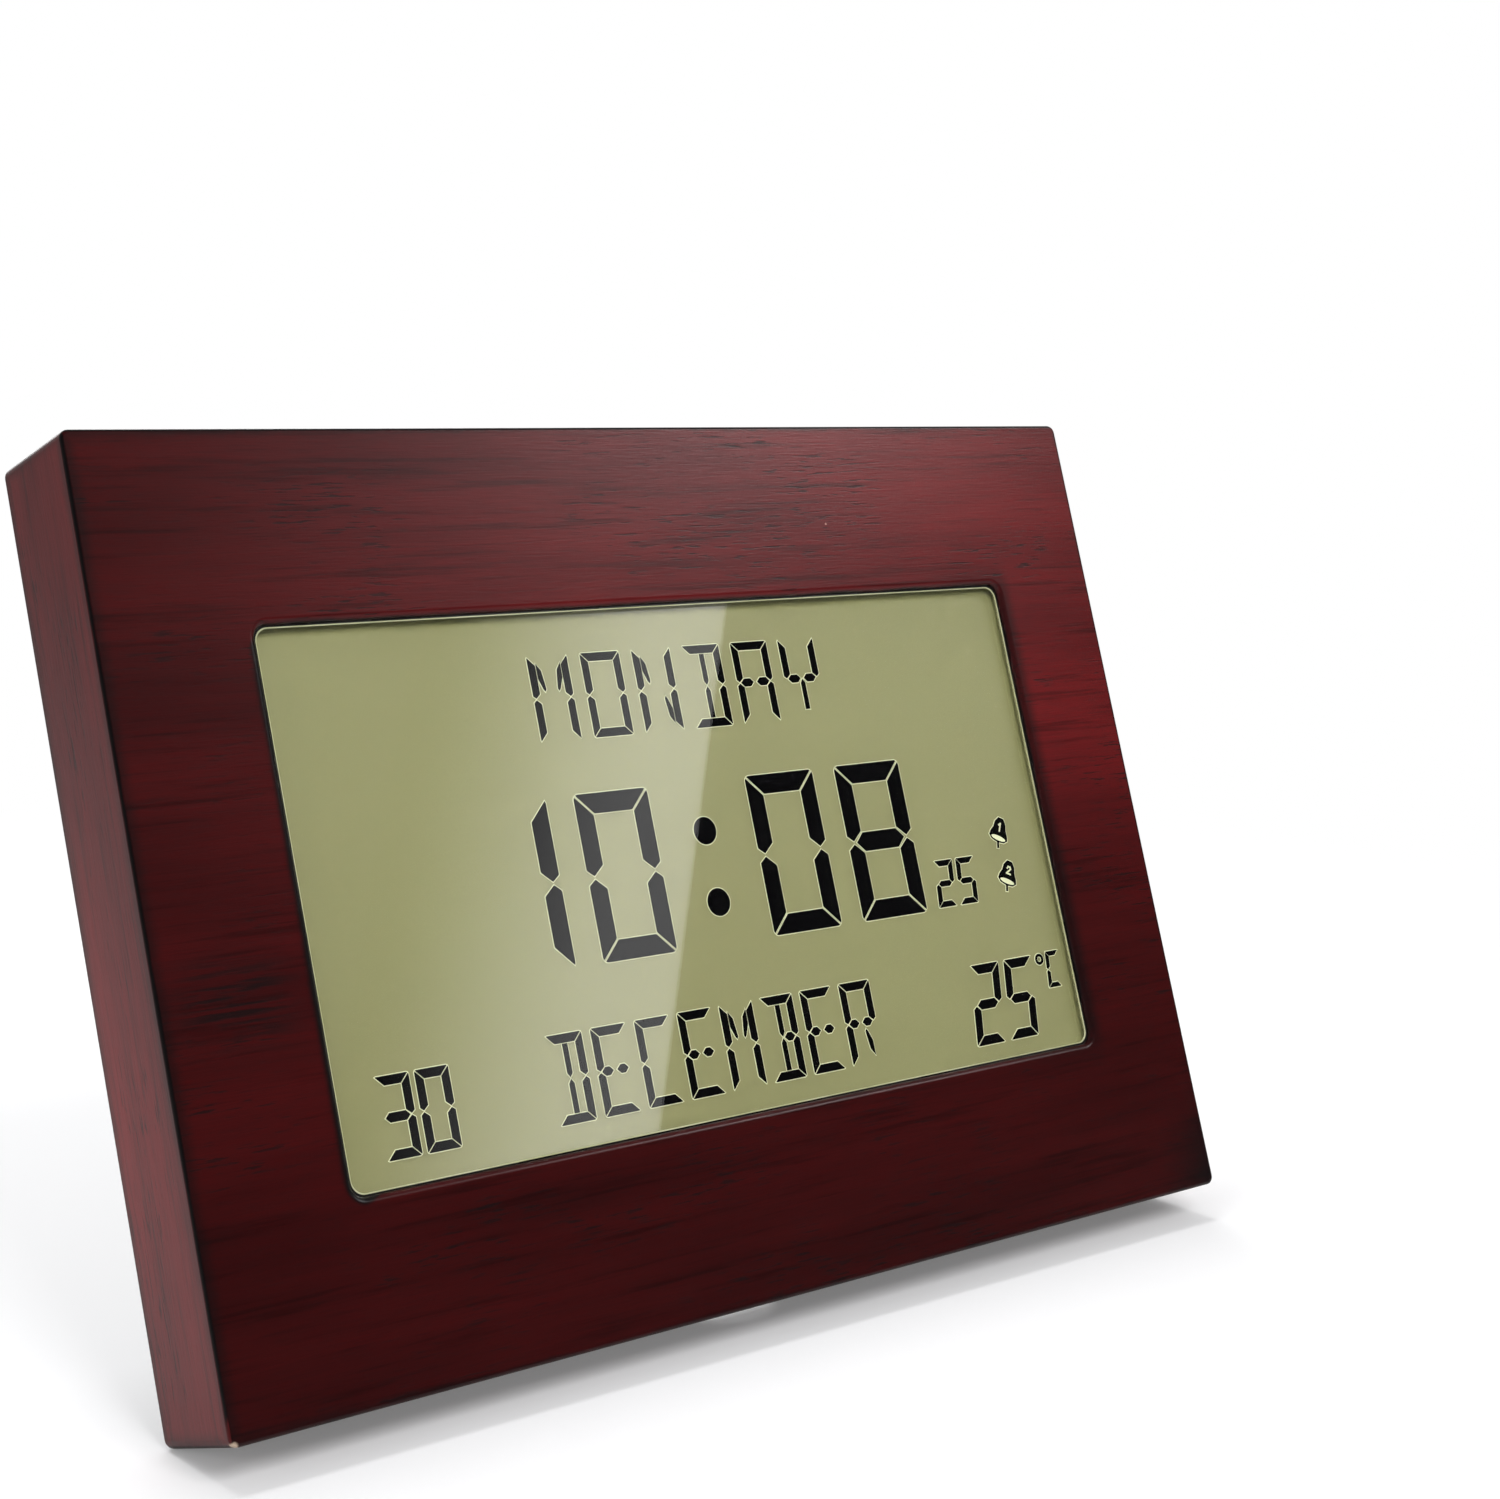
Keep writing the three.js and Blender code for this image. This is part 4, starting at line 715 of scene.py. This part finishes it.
def build_window_frame():
    """The black gasket round the lens, and inside it a light ring: a painted highlight of the lens's polished edge.
    """
    gasket = window_ring("lens_gasket", RING_GAP, GASKET_WIDTH, GASKET_DEPTH)
    settle(gasket, "case", "black_plastic", finish=finishes["gasket"])
    # painted highlight: a light-coloured ring stands in for the light that the lens's polished edge catches
    shine, maker, shader = material("painted_lens_edge_highlight", base_color=colour(191, 193, 153), roughness=0.25)
    uneven = maker.noise(maker.object_place(), 70, 3, 0.6)
    maker.dress(shader, base_color=maker.mix(uneven.step(0.35, 0.7),
                                             colour(180, 182, 138), colour(202, 203, 168)))
    edge = window_ring("painted_lens_edge_highlight", GASKET_WIDTH + RING_GAP, EDGE_WIDTH, EDGE_DEPTH)
    settle(edge, "case", "clear_plastic", finish=shine)


def bar_shapes(width, height, stroke, gap):
    """The outlines of the segments of one character, named as on a data sheet, from its lower left."""
    middle, centre, half = height / 2, width / 2, stroke / 2
    beside = stroke + gap
    far, below = width - stroke - gap, height - stroke - gap
    nip = 0.16 * stroke
    upper_left = [(0, height - gap - nip), (0.3 * nip, height - gap - 0.3 * nip), (stroke, below),
                  (stroke, middle + half + gap), (0.4 * stroke, middle + gap), (0, middle + 0.3 * stroke + gap)]
    top = [(gap + nip, height), (width - gap - nip, height), (width - gap - 0.3 * nip, height - 0.3 * nip),
           (far, height - stroke), (beside, height - stroke), (gap + 0.3 * nip, height - 0.3 * nip)]
    bar = [(half + gap, middle), (beside, middle + half), (far, middle + half),
           (width - half - gap, middle), (far, middle - half), (beside, middle - half)]
    inner = centre - 0.24 * stroke
    left_half = [(half + gap, middle), (beside, middle + half), (inner - half, middle + half),
                 (inner, middle), (inner - half, middle - half), (beside, middle - half)]
    slim = 0.36 * stroke
    post = [(centre - slim, below), (centre + slim, below), (centre + slim, middle + half + gap),
            (centre, middle + gap), (centre - slim, middle + half + gap)]
    spindle = [(beside, height - 0.85 * stroke), (beside + 0.62 * stroke, height - 1.7 * stroke),
               (beside + 0.9 * stroke, middle + 1.1 * stroke), (beside + 0.72 * stroke, middle + 0.8 * stroke),
               (beside + 0.5 * stroke, middle + 1.1 * stroke), (beside, height - 2.6 * stroke)]

    def across(points):
        return [(width - x, z) for x, z in points]

    def down(points):
        return [(x, height - z) for x, z in points]

    return {
        "a": top, "d": down(top), "f": upper_left, "b": across(upper_left), "e": down(upper_left),
        "c": down(across(upper_left)), "g": bar, "g1": left_half, "g2": across(left_half),
        "i": post, "l": down(post), "h": spindle, "j": across(spindle), "m": down(spindle),
        "k": down(across(spindle)),
    }


CHARACTERS = {
    "0": "a b c d e f", "1": "b c", "2": "a b g e d", "3": "a b g c d", "5": "a f g c d", "8": "a b c d e f g",
    "A": "a b c e f g1 g2", "B": "a b c d i l g2", "C": "a d e f", "D": "a b c d i l", "E": "a d e f g1 g2",
    "M": "b c e f h j", "N": "b c e f h k", "O": "a b c d e f", "R": "a b e f g1 g2 k", "Y": "f b g1 g2 l",
}

# Each row of characters: text, left edge, lower edge, pitch, width, height, stroke, gap and slant
ROWS = [
    ("MONDAY", -30.9, 24.1, 11.84, 8.9, 15.9, 1.6, 0.14, 0.0),
    ("1", -49.1, -16.9, 16.6, 16.6, 30.9, 3.8, 0.3, 0.0),
    ("0", -26.4, -16.9, 16.6, 16.7, 30.9, 3.8, 0.3, 0.0),
    ("08", 13.6, -16.9, 22.5, 16.9, 30.9, 3.8, 0.3, 0.0),
    ("25", 56.3, -16.6, 5.9, 4.9, 9.4, 1.2, 0.09, 0.1),
    ("30", -77.1, -43.9, 7.9, 6.8, 14.2, 1.65, 0.14, 0.0),
    ("DECEMBER", -41.9, -43.9, 9.76, 7.8, 15.9, 1.62, 0.14, 0.0),
    ("25", 59.0, -45.0, 9.3, 7.8, 16.0, 1.9, 0.15, 0.14),
    ("C", 81.7, -36.2, 4.0, 3.7, 7.4, 0.98, 0.08, 0.1),
]
COLON_X = 1.9
COLON_HEIGHTS = (4.6, -9.0)
COLON_RADIUS = 2.65
DEGREE_PLACE = (80.5, -30.1)
DEGREE_RADII = (1.15, 0.55)
BELL_PLACES = (((76.7, -3.0), "1"), ((76.7, -12.0), "2"))
BELL_TURN = radians(-25)
BELL_FIGURES = {
    "1": [(-0.35, 0.45), (0.0, 0.8), (0.0, -0.75)],
    "2": [(-0.45, 0.4), (-0.25, 0.75), (0.25, 0.75), (0.45, 0.4), (-0.45, -0.7), (0.55, -0.7)],
}


def grown(points, by):
    """A convex outline moved outwards by a distance."""
    count = len(points)
    area = sum(points[i][0] * points[(i + 1) % count][1] - points[(i + 1) % count][0] * points[i][1]
               for i in range(count))
    sign = 1 if area > 0 else -1
    result = []
    for i in range(count):
        before, here, after = (Vector(points[(i + k) % count]) for k in (-1, 0, 1))
        first = (here - before).normalized()
        second = (after - here).normalized()
        out_first = Vector((first.y, -first.x)) * sign
        out_second = Vector((second.y, -second.x)) * sign
        corner = (out_first + out_second).normalized()
        stretch = min(1 / max(corner.dot(out_first), 0.35), 1.6)
        result.append(tuple(here + corner * by * stretch))
    return result


def circle(x, z, radius, sides=32):
    return [(x + radius * cos(2 * pi * i / sides), z + radius * sin(2 * pi * i / sides)) for i in range(sides)]


def ring(x, z, outer, inner, sides=24):
    """A ring as a row of four-sided shapes."""
    turn = 2 * pi / sides
    shapes = []
    for i in range(sides):
        shapes.append([(x + r * cos(turn * k), z + r * sin(turn * k))
                       for r, k in ((outer, i), (outer, i + 1), (inner, i + 1), (inner, i))])
    return shapes


def strip(points, width):
    """Four-sided shapes along a line of points."""
    shapes = []
    for first, second in zip(points, points[1:]):
        first, second = Vector(first), Vector(second)
        run = (second - first).normalized() * width / 2
        side = Vector((-run.y, run.x))
        shapes.append([tuple(spot) for spot in (first - run - side, second + run - side,
                                                second + run + side, first - run + side)])
    return shapes


def display_shapes():
    shapes = []
    for text, left, foot, pitch, width, height, stroke, gap, slant in ROWS:
        bars = bar_shapes(width, height, stroke, gap)
        for index, character in enumerate(text):
            for name in CHARACTERS[character].split():
                shapes.append([(left + index * pitch + x + z * slant, foot + z) for x, z in bars[name]])
    for height in COLON_HEIGHTS:
        shapes.append(circle(COLON_X, height, COLON_RADIUS))
    shapes += ring(*DEGREE_PLACE, *DEGREE_RADII)
    return shapes


def bell_shapes():
    """The dark and the light shapes of the two alarm bells."""
    dark, light = [], []
    turn = Matrix.Rotation(BELL_TURN, 2)
    for place, figure in BELL_PLACES:
        put = lambda points: [tuple(Vector(place) + turn @ Vector(point)) for point in points]
        dark.append(put([(-2.5, -1.4), (-2.3, -0.5), (-1.7, 0.6), (-1.5, 1.8), (-0.7, 2.9), (0.7, 2.9),
                         (1.5, 1.8), (1.7, 0.6), (2.3, -0.5), (2.5, -1.4), (1.7, -2.1), (0, -2.4), (-1.7, -2.1)]))
        dark += [put(shape) for shape in strip([(0.1, -2.3), (0.3, -3.3)], 0.5)]
        light.append(put([(1.9 * cos(pi * i / 12), 0.5 * sin(pi * i / 12) - 1.5) for i in range(24)]))
        light += [put([(x, z + 0.85) for x, z in shape]) for shape in strip(BELL_FIGURES[figure], 0.34)]
    return dark, light


def flat_shapes(name, shapes, back, thickness):
    """Thin prisms from a list of outlines, their backs on one plane."""
    corners = [(x, back, z) for shape in shapes for x, z in shape]
    faces = []
    start = 0
    for shape in shapes:
        faces.append(tuple(range(start, start + len(shape))))
        start += len(shape)
    piece = drawn(name, corners, faces=faces)
    with editing(piece, "FACE", "SELECT"):
        bpy.ops.mesh.extrude_region_move(TRANSFORM_OT_translate={"value": (0, -thickness, 0)})
        bpy.ops.mesh.select_all(action="SELECT")
        bpy.ops.mesh.normals_make_consistent(inside=False)
    return piece


def build_display():
    ink = material("segment_black", base_color=colour(6, 6, 7), roughness=0.6, specular_ior_level=0.0)[0]
    edge = material("segment_outline", base_color=colour(204, 207, 170), roughness=0.6,
                    specular_ior_level=0.2)[0]
    dark, light = bell_shapes()
    shapes = display_shapes() + dark
    outlines = [grown(shape, OUTLINE_GROWTH) for shape in shapes]
    for name, outline, back, thickness, finish in (
            ("display_segments", shapes, SEGMENTS_BACK, SEGMENT_THICKNESS, ink),
            ("display_outlines", outlines, OUTLINES_BACK, MARK_THICKNESS, edge),
            ("bell_marks", light, MARKS_BACK, MARK_THICKNESS, edge)):
        piece = flat_shapes(name, outline, back, thickness)
        settle(piece, "case", "display_glass", finish=finish)


# Stand
def build_stand():
    bottom = -STAND_LENGTH - STAND_FOOT_TRIM
    half_thick = STAND_THICKNESS / 2

    def lower(co):
        return co.z < 0
    stand = rounded_block("folding_stand", (-STAND_HALF, -half_thick, bottom), (STAND_HALF, half_thick, STAND_HEEL),
                          STAND_OUTER, 20, lower)
    inner = STAND_HALF - STAND_LEG
    gap = rounded_block("gap", (-inner, -STAND_THICKNESS, STAND_BAR - STAND_LENGTH),
                        (inner, STAND_THICKNESS, STAND_HEEL + 5), STAND_INNER, 20, lower)
    cut(stand, gap)
    leg = STAND_HALF - STAND_LEG / 2
    for side in (-1, 1):
        for end in (-1, 1):
            root = side * leg + end * (STAND_LEG / 2 - SLIT_FINGER / 2)
            tip = side * leg + end * (STAND_LEG / 2 + PEG_REACH)
            slit = side * leg + end * (STAND_LEG / 2 - SLIT_FINGER - SLIT_WIDTH / 2)
            weld(stand, cylinder("peg", PEG_RADIUS, min(root, tip), max(root, tip), "X", 24))
            cut(stand, block("slit", (slit - SLIT_WIDTH / 2, -STAND_THICKNESS, STAND_HEEL - SLIT_LENGTH),
                             (slit + SLIT_WIDTH / 2, STAND_THICKNESS, STAND_HEEL + PAST)))
    # the table's plane cuts the foot flat
    table = block("table", (-CASE_WIDTH, -40, -60), (CASE_WIDTH, 40, 0))
    table.data.transform(Matrix.Translation((0, 0, -STAND_LENGTH)) @ Matrix.Rotation(lean - stand_open, 4, "X"))
    cut(stand, table)
    soften(stand, STAND_ROUND, 3)
    smooth(stand, 35)
    settle(stand, "stand", "stand_plastic", ("stand",), place=case_place @ stand_place)


# Buttons, by name and place across, and the tray that they stand in
BUTTONS = {"button_set": 20, "button_mode": 10, "button_up": 0, "button_down": -10, "button_alarm": -20}
BUTTON_HEIGHT = 23.6
TRAY_WIDTH = 65.5
TRAY_HEIGHT = 26.4
TRAY_MIDDLE = 18.8
TRAY_DEPTH = 4.5
TRAY_RUN = 5
TRAY_WALL = 1.6
RECESS_FLOOR = -5.6
TRAY_FLOOR = RECESS_FLOOR - TRAY_DEPTH
BUTTON_RADIUS = 2.85
BUTTON_HOLE = 3.3
BUTTON_TOP = TRAY_FLOOR + 2.2
BUTTON_DOME = 1.2
BUTTON_FLANGE = 4.2
BUTTON_FLANGE_THICKNESS = 0.6
PLUNGER_RADIUS = 1.5
PLUNGER_LENGTH = 1.8
DOME_STEPS = 12
TURN_STEPS = 48


def turned(name, profile):
    """A closed profile of radius and height, spun round the Y axis."""
    piece = drawn(name, [(radius, height, 0) for radius, height in profile],
                  [(i, i + 1) for i in range(len(profile) - 1)])
    with editing(piece, select="SELECT"):
        bpy.ops.mesh.spin(steps=TURN_STEPS, angle=2 * pi, center=(0, 0, 0), axis=(0, 1, 0))
        bpy.ops.mesh.select_all(action="SELECT")
        bpy.ops.mesh.remove_doubles(threshold=0.001)
        bpy.ops.mesh.normals_make_consistent(inside=False)
    return piece


def build_buttons():
    """Domed caps, turned once and copied."""
    flange_back = TRAY_FLOOR - TRAY_WALL - GAP
    flange_front = flange_back - BUTTON_FLANGE_THICKNESS
    tip = flange_front - PLUNGER_LENGTH
    profile = [(0, tip), (PLUNGER_RADIUS, tip), (PLUNGER_RADIUS, flange_front),
               (BUTTON_FLANGE, flange_front), (BUTTON_FLANGE, flange_back),
               (BUTTON_RADIUS, flange_back), (BUTTON_RADIUS, BUTTON_TOP - BUTTON_DOME)]
    for i in range(1, DOME_STEPS):
        turn = i / DOME_STEPS * pi / 2
        profile.append((BUTTON_RADIUS * cos(turn), BUTTON_TOP - BUTTON_DOME + BUTTON_DOME * sin(turn)))
    profile.append((0, BUTTON_TOP))
    first = turned("button_cap", profile)
    smooth(first, 50)
    for name, x in BUTTONS.items():
        cap = placed("cap_of_" + name, first.data.copy())
        cap.data.transform(Matrix.Translation((x, 0, BUTTON_HEIGHT)))
        settle(cap, name, "chrome", (name,))
    bpy.data.objects.remove(first)


# Back cover, battery door and label
LABEL_LOW = Vector((-25, RECESS_FLOOR, -45.4))
LABEL_HIGH = Vector((25, -5.45, -24.8))


def dressed_copy(name, node):
    """A copy of a CAD piece with its loose triangles joined and its flat faces merged."""
    piece = placed(name, nodes[node].data.copy())
    piece.data.transform(case_place.inverted())
    only(piece)
    bpy.ops.mesh.customdata_custom_splitnormals_clear()
    with editing(piece, "VERT", "SELECT"):
        bpy.ops.mesh.remove_doubles(threshold=0.001)
        bpy.ops.mesh.dissolve_limited(angle_limit=radians(0.5))
    return piece


def tray_form():
    """The tray's hollow: a long round-ended floor with sloping walls."""
    floor_x = TRAY_WIDTH / 2 - TRAY_RUN
    floor_z = TRAY_HEIGHT / 2 - TRAY_RUN
    tray = rounded_block("tray", (-floor_x, TRAY_FLOOR, TRAY_MIDDLE - floor_z),
                         (floor_x, RECESS_FLOOR + PAST, TRAY_MIDDLE + floor_z), floor_z - HAIR, 16)
    rise = (TRAY_DEPTH + PAST) / TRAY_DEPTH * TRAY_RUN
    for vert in tray.data.vertices:
        if vert.co.y > RECESS_FLOOR:
            straight = min(max(vert.co.x, floor_z - floor_x), floor_x - floor_z)
            out = Vector((vert.co.x - straight, 0, vert.co.z - TRAY_MIDDLE)).normalized()
            vert.co += out * rise
    return tray


def build_back():
    cover = dressed_copy("cover_shell", "back_cover")
    # the tray is filled and then cut anew with rounder walls and holes
    plug = block("plug", (-TRAY_WIDTH / 2 - PAST, TRAY_FLOOR - TRAY_WALL, TRAY_MIDDLE - TRAY_HEIGHT / 2 - PAST),
                 (TRAY_WIDTH / 2 + PAST, RECESS_FLOOR, TRAY_MIDDLE + TRAY_HEIGHT / 2 + PAST))
    weld(cover, plug)
    holes = [cylinder("hole", BUTTON_HOLE, TRAY_FLOOR - 3, TRAY_FLOOR + PAST, "Y", 40, (x, 0, BUTTON_HEIGHT))
             for x in sorted(BUTTONS.values())]
    cut(cover, tray_form(), *holes)
    smooth(cover, 28, weighted=False)
    for face in cover.data.polygons:
        if max(abs(part) for part in face.normal) > 0.9999:
            face.use_smooth = False
    settle(cover, "case", "black_plastic", ("back_cover",))
    door = dressed_copy("door_panel", "battery_door")
    soften(door, DOOR_ROUND, 2, 30)
    smooth(door, 35)
    settle(door, "battery_door", "black_plastic", ("battery_door",))


def build_label():
    label = rounded_block("blank_label", LABEL_LOW, LABEL_HIGH, 0.5, 4)
    soften(label, 0.04, 2)
    smooth(label)
    foil, maker, shader = material("silver_foil", base_color=colour(204, 207, 210), roughness=0.38, metallic=0.3)
    spot = maker.object_place()
    brushed = maker.noise(maker.stretched(spot, (60, 4000, 4000)), 1, 3, 0.6)
    creases = maker.noise(spot, 45, 3, 0.6)
    maker.dress(shader, base_color=maker.mix(creases.step(0.35, 0.7), colour(196, 200, 204),
                                             colour(216, 216, 214)),
                roughness=brushed.step(0.3, 0.7, 0.3, 0.46))
    maker.bump(shader, creases, 0.08, 0.0003)
    settle(label, "battery_door", "steel", finish=foil)


# Cells
CELL_RADIUS = 5.15
CELL_LENGTH = 44.5
CELL_SHOULDER = 0.9
CELL_NUB = 1.9
CELL_LIP = 1.3
CELL_FILM = 0.3


def middle_of(node):
    """The middle of a CAD piece's box, in the case's millimetres."""
    places = [case_place.inverted() @ vert.co for vert in nodes[node].data.vertices]
    return Vector([(min(spots) + max(spots)) / 2 for spots in zip(*places)])


def build_cells():
    """Two cells: a blank jacket shrunk over a bright can, turned once and copied."""
    foot, shoulder, top = -CELL_LENGTH / 2, CELL_LENGTH / 2 - CELL_SHOULDER, CELL_LENGTH / 2
    lip, inner = CELL_RADIUS - CELL_LIP, CELL_RADIUS - CELL_FILM
    jacket = turned("cell_jacket", [
        (lip, foot), (CELL_RADIUS - 0.4, foot), (CELL_RADIUS - 0.1, foot + 0.12), (CELL_RADIUS, foot + 0.4),
        (CELL_RADIUS, shoulder - 0.4), (CELL_RADIUS - 0.1, shoulder - 0.12), (CELL_RADIUS - 0.4, shoulder),
        (lip, shoulder), (lip, shoulder - 0.2), (inner, shoulder - 0.5), (inner, foot + 0.5), (lip, foot + 0.2),
        (lip, foot)])
    can = turned("cell_can", [
        (0, foot + 0.25), (lip, foot + 0.25), (inner - 0.05, foot + 0.6), (inner - 0.05, shoulder - 0.6),
        (lip, shoulder - 0.25), (CELL_NUB, shoulder - 0.25), (CELL_NUB, top - 0.3), (CELL_NUB - 0.1, top - 0.1),
        (CELL_NUB - 0.3, top), (0, top)])
    for direction, node in ((1, "battery_upper"), (-1, "battery_lower")):
        place = Matrix.Translation(middle_of(node)) @ Matrix.Rotation(-direction * pi / 2, 4, "Z")
        for part, slot, stands_for in ((jacket, "cell_jacket", (node,)), (can, "steel", ())):
            piece = placed(part.name + "_of_" + node, part.data.copy())
            piece.data.transform(place)
            smooth(piece, 40)
            settle(piece, "case", slot, stands_for)
    bpy.data.objects.remove(jacket)
    bpy.data.objects.remove(can)


# Room: floor, lamps and the panel that the lens mirrors
FLOOR_SIZE = 8
FLOOR_HEIGHT = -0.0002          # just under the feet, so that no face lies in the floor's plane
FLOOR_GLOW = 0.17
FLOOR_FADE = (0.22, 0.6)        # metres from the clock
WORLD_LIGHT = 0.33
WORLD_MIRRORED = (0.015, 0.52)  # how bright mirrors see the room before and behind the clock


def build_floor():
    """A white floor that fades into the white behind it, seen so only by the camera."""
    floor = primitive("floor", bpy.ops.mesh.primitive_plane_add, size=FLOOR_SIZE, location=(0, 0, FLOOR_HEIGHT))
    finish, maker, shader = material("floor_white", base_color=(0.82, 0.82, 0.82, 1), roughness=0.7)
    far = maker.add("ShaderNodeVectorMath", {0: maker.object_place()}, operation="LENGTH")
    lit = maker.add("ShaderNodeBsdfDiffuse", {0: (0.78, 0.78, 0.79, 1)})
    glow = maker.add("ShaderNodeEmission", {"Strength": FLOOR_GLOW})
    seen = maker.add("ShaderNodeAddShader", {0: lit, 1: glow})
    white = maker.add("ShaderNodeEmission")
    share = Value(maker, far.outputs["Value"]).step(*FLOOR_FADE)
    fade = maker.add("ShaderNodeMixShader", {0: share, 1: seen, 2: white})
    path = maker.add("ShaderNodeLightPath")
    maker.surface(maker.add("ShaderNodeMixShader", {0: path.outputs["Is Camera Ray"], 1: shader, 2: fade}))
    floor.data.materials.append(finish)


def area_lamp(name, place, aim, size, power, mirrored=True, spread=True):
    data = bpy.data.lights.new(name, "AREA")
    data.shape = "RECTANGLE"
    data.size, data.size_y = size
    data.energy = power
    lamp = placed(name, data)
    lamp.visible_glossy = mirrored
    lamp.visible_diffuse = spread
    lamp.matrix_world = (Matrix.Translation(place)
                         @ (Vector(place) - Vector(aim)).to_track_quat("Z", "Y").to_matrix().to_4x4())


def build_light():
    area_lamp("key", (-0.1, -0.76, 0.74), (0, 0, 0.09), (0.5, 0.4), 5.8, mirrored=False)
    area_lamp("sheen", (0.51, -0.36, 0.57), (0.01, 0, 0.15), (0.2, 0.14), 2.15, spread=False)
    area_lamp("fill", (-1.2, -0.3, 0.4), (0, 0, 0.06), (0.8, 0.8), 5, mirrored=False)
    area_lamp("top", (0.0, 0.4, 1.3), (0, 0, 0), (0.7, 0.5), 9, mirrored=False)
    area_lamp("rear", (0.35, 1.2, 0.6), (0, 0, 0.06), (0.9, 0.5), 6)
    world = bpy.data.worlds.new("studio")
    world.use_nodes = True
    bpy.context.scene.world = world
    maker = Nodes(world.node_tree)
    path = maker.add("ShaderNodeLightPath")
    aim = maker.parts(maker.add("ShaderNodeTexCoord").outputs["Generated"])
    # white to the camera, dark in mirrors towards the front and lighter towards the back
    behind = aim[1].step(-0.25, 0.35, *WORLD_MIRRORED)
    mirrored = maker.most(path.outputs["Is Glossy Ray"], path.outputs["Is Transmission Ray"])
    level = maker.add("ShaderNodeMix", {0: mirrored, 2: WORLD_LIGHT, 3: behind}, data_type="FLOAT")
    shown = maker.add("ShaderNodeMix", {0: path.outputs["Is Camera Ray"], 2: level, 3: 1.0}, data_type="FLOAT")
    maker.dress(world.node_tree.nodes["Background"], color=(1, 1, 1, 1), strength=shown)


# The bright panel whose mirror image crosses the display: its straight right edge is seen from the camera
# at these two points of the lens, and it fades out before the display's left side
GLARE_TOP = Vector((17.0, 0, 47.8))
GLARE_FOOT = Vector((-21.8, 0, -47.9))
GLARE_LEFT = -92
GLARE_DISTANCE = 0.9
GLARE_LEVEL = 0.97


def build_glare_panel():
    face = case_place.to_3x3() @ Vector((0, -1, 0))
    face.normalize()

    def mirrored(point):
        """Where the camera sees a point of the lens, and the way its ray goes on from there."""
        spot = case_place @ Vector((point.x, LENS_FRONT, point.z))
        ray = (spot - CAMERA_PLACE).normalized()
        return spot, ray - 2 * ray.dot(face) * face

    middle, aim = mirrored(Vector((-20, 0, 0)))
    centre = middle + aim * GLARE_DISTANCE

    def on_panel(point):
        spot, ray = mirrored(point)
        return spot + ray * ((centre - spot).dot(aim) / ray.dot(aim))

    run = GLARE_FOOT - GLARE_TOP
    top, foot = GLARE_TOP - run * 0.5, GLARE_FOOT + run * 0.5
    shift = Vector((GLARE_LEFT - GLARE_FOOT.x, 0, 0))
    panel = drawn("glare_panel", [on_panel(point) for point in (top + shift, top, foot, foot + shift)],
                  faces=[(0, 1, 2, 3)])
    uv = panel.data.uv_layers.new(name="across")
    for loop, place in zip(uv.data, ((0, 1), (1, 1), (1, 0), (0, 0))):
        loop.uv = place
    finish, maker, shader = material("glare_light")
    glow = maker.add("ShaderNodeEmission")
    across = maker.parts(maker.add("ShaderNodeUVMap", uv_map="across"))[0]
    maker.dress(glow, strength=across.step(0.04, 0.82, 0, GLARE_LEVEL))
    maker.surface(glow)
    panel.data.materials.append(finish)
    panel.visible_camera = False
    panel.visible_diffuse = False
    panel.visible_shadow = False
    mirrors = bpy.data.collections.new("display_mirrors")
    for piece in ("lens_plate", "display_segments", "display_outlines", "bell_marks"):
        mirrors.objects.link(bpy.data.objects[piece])
    mirrors.objects.link(nodes["lcd_glass"])
    panel.light_linking.receiver_collection = mirrors


place_camera()
build_case()
build_lens()
build_window_frame()
build_display()
build_stand()
build_back()
build_buttons()
build_cells()
build_label()
build_floor()
build_light()
build_glare_panel()

bpy.context.scene.view_settings.view_transform = "Standard"
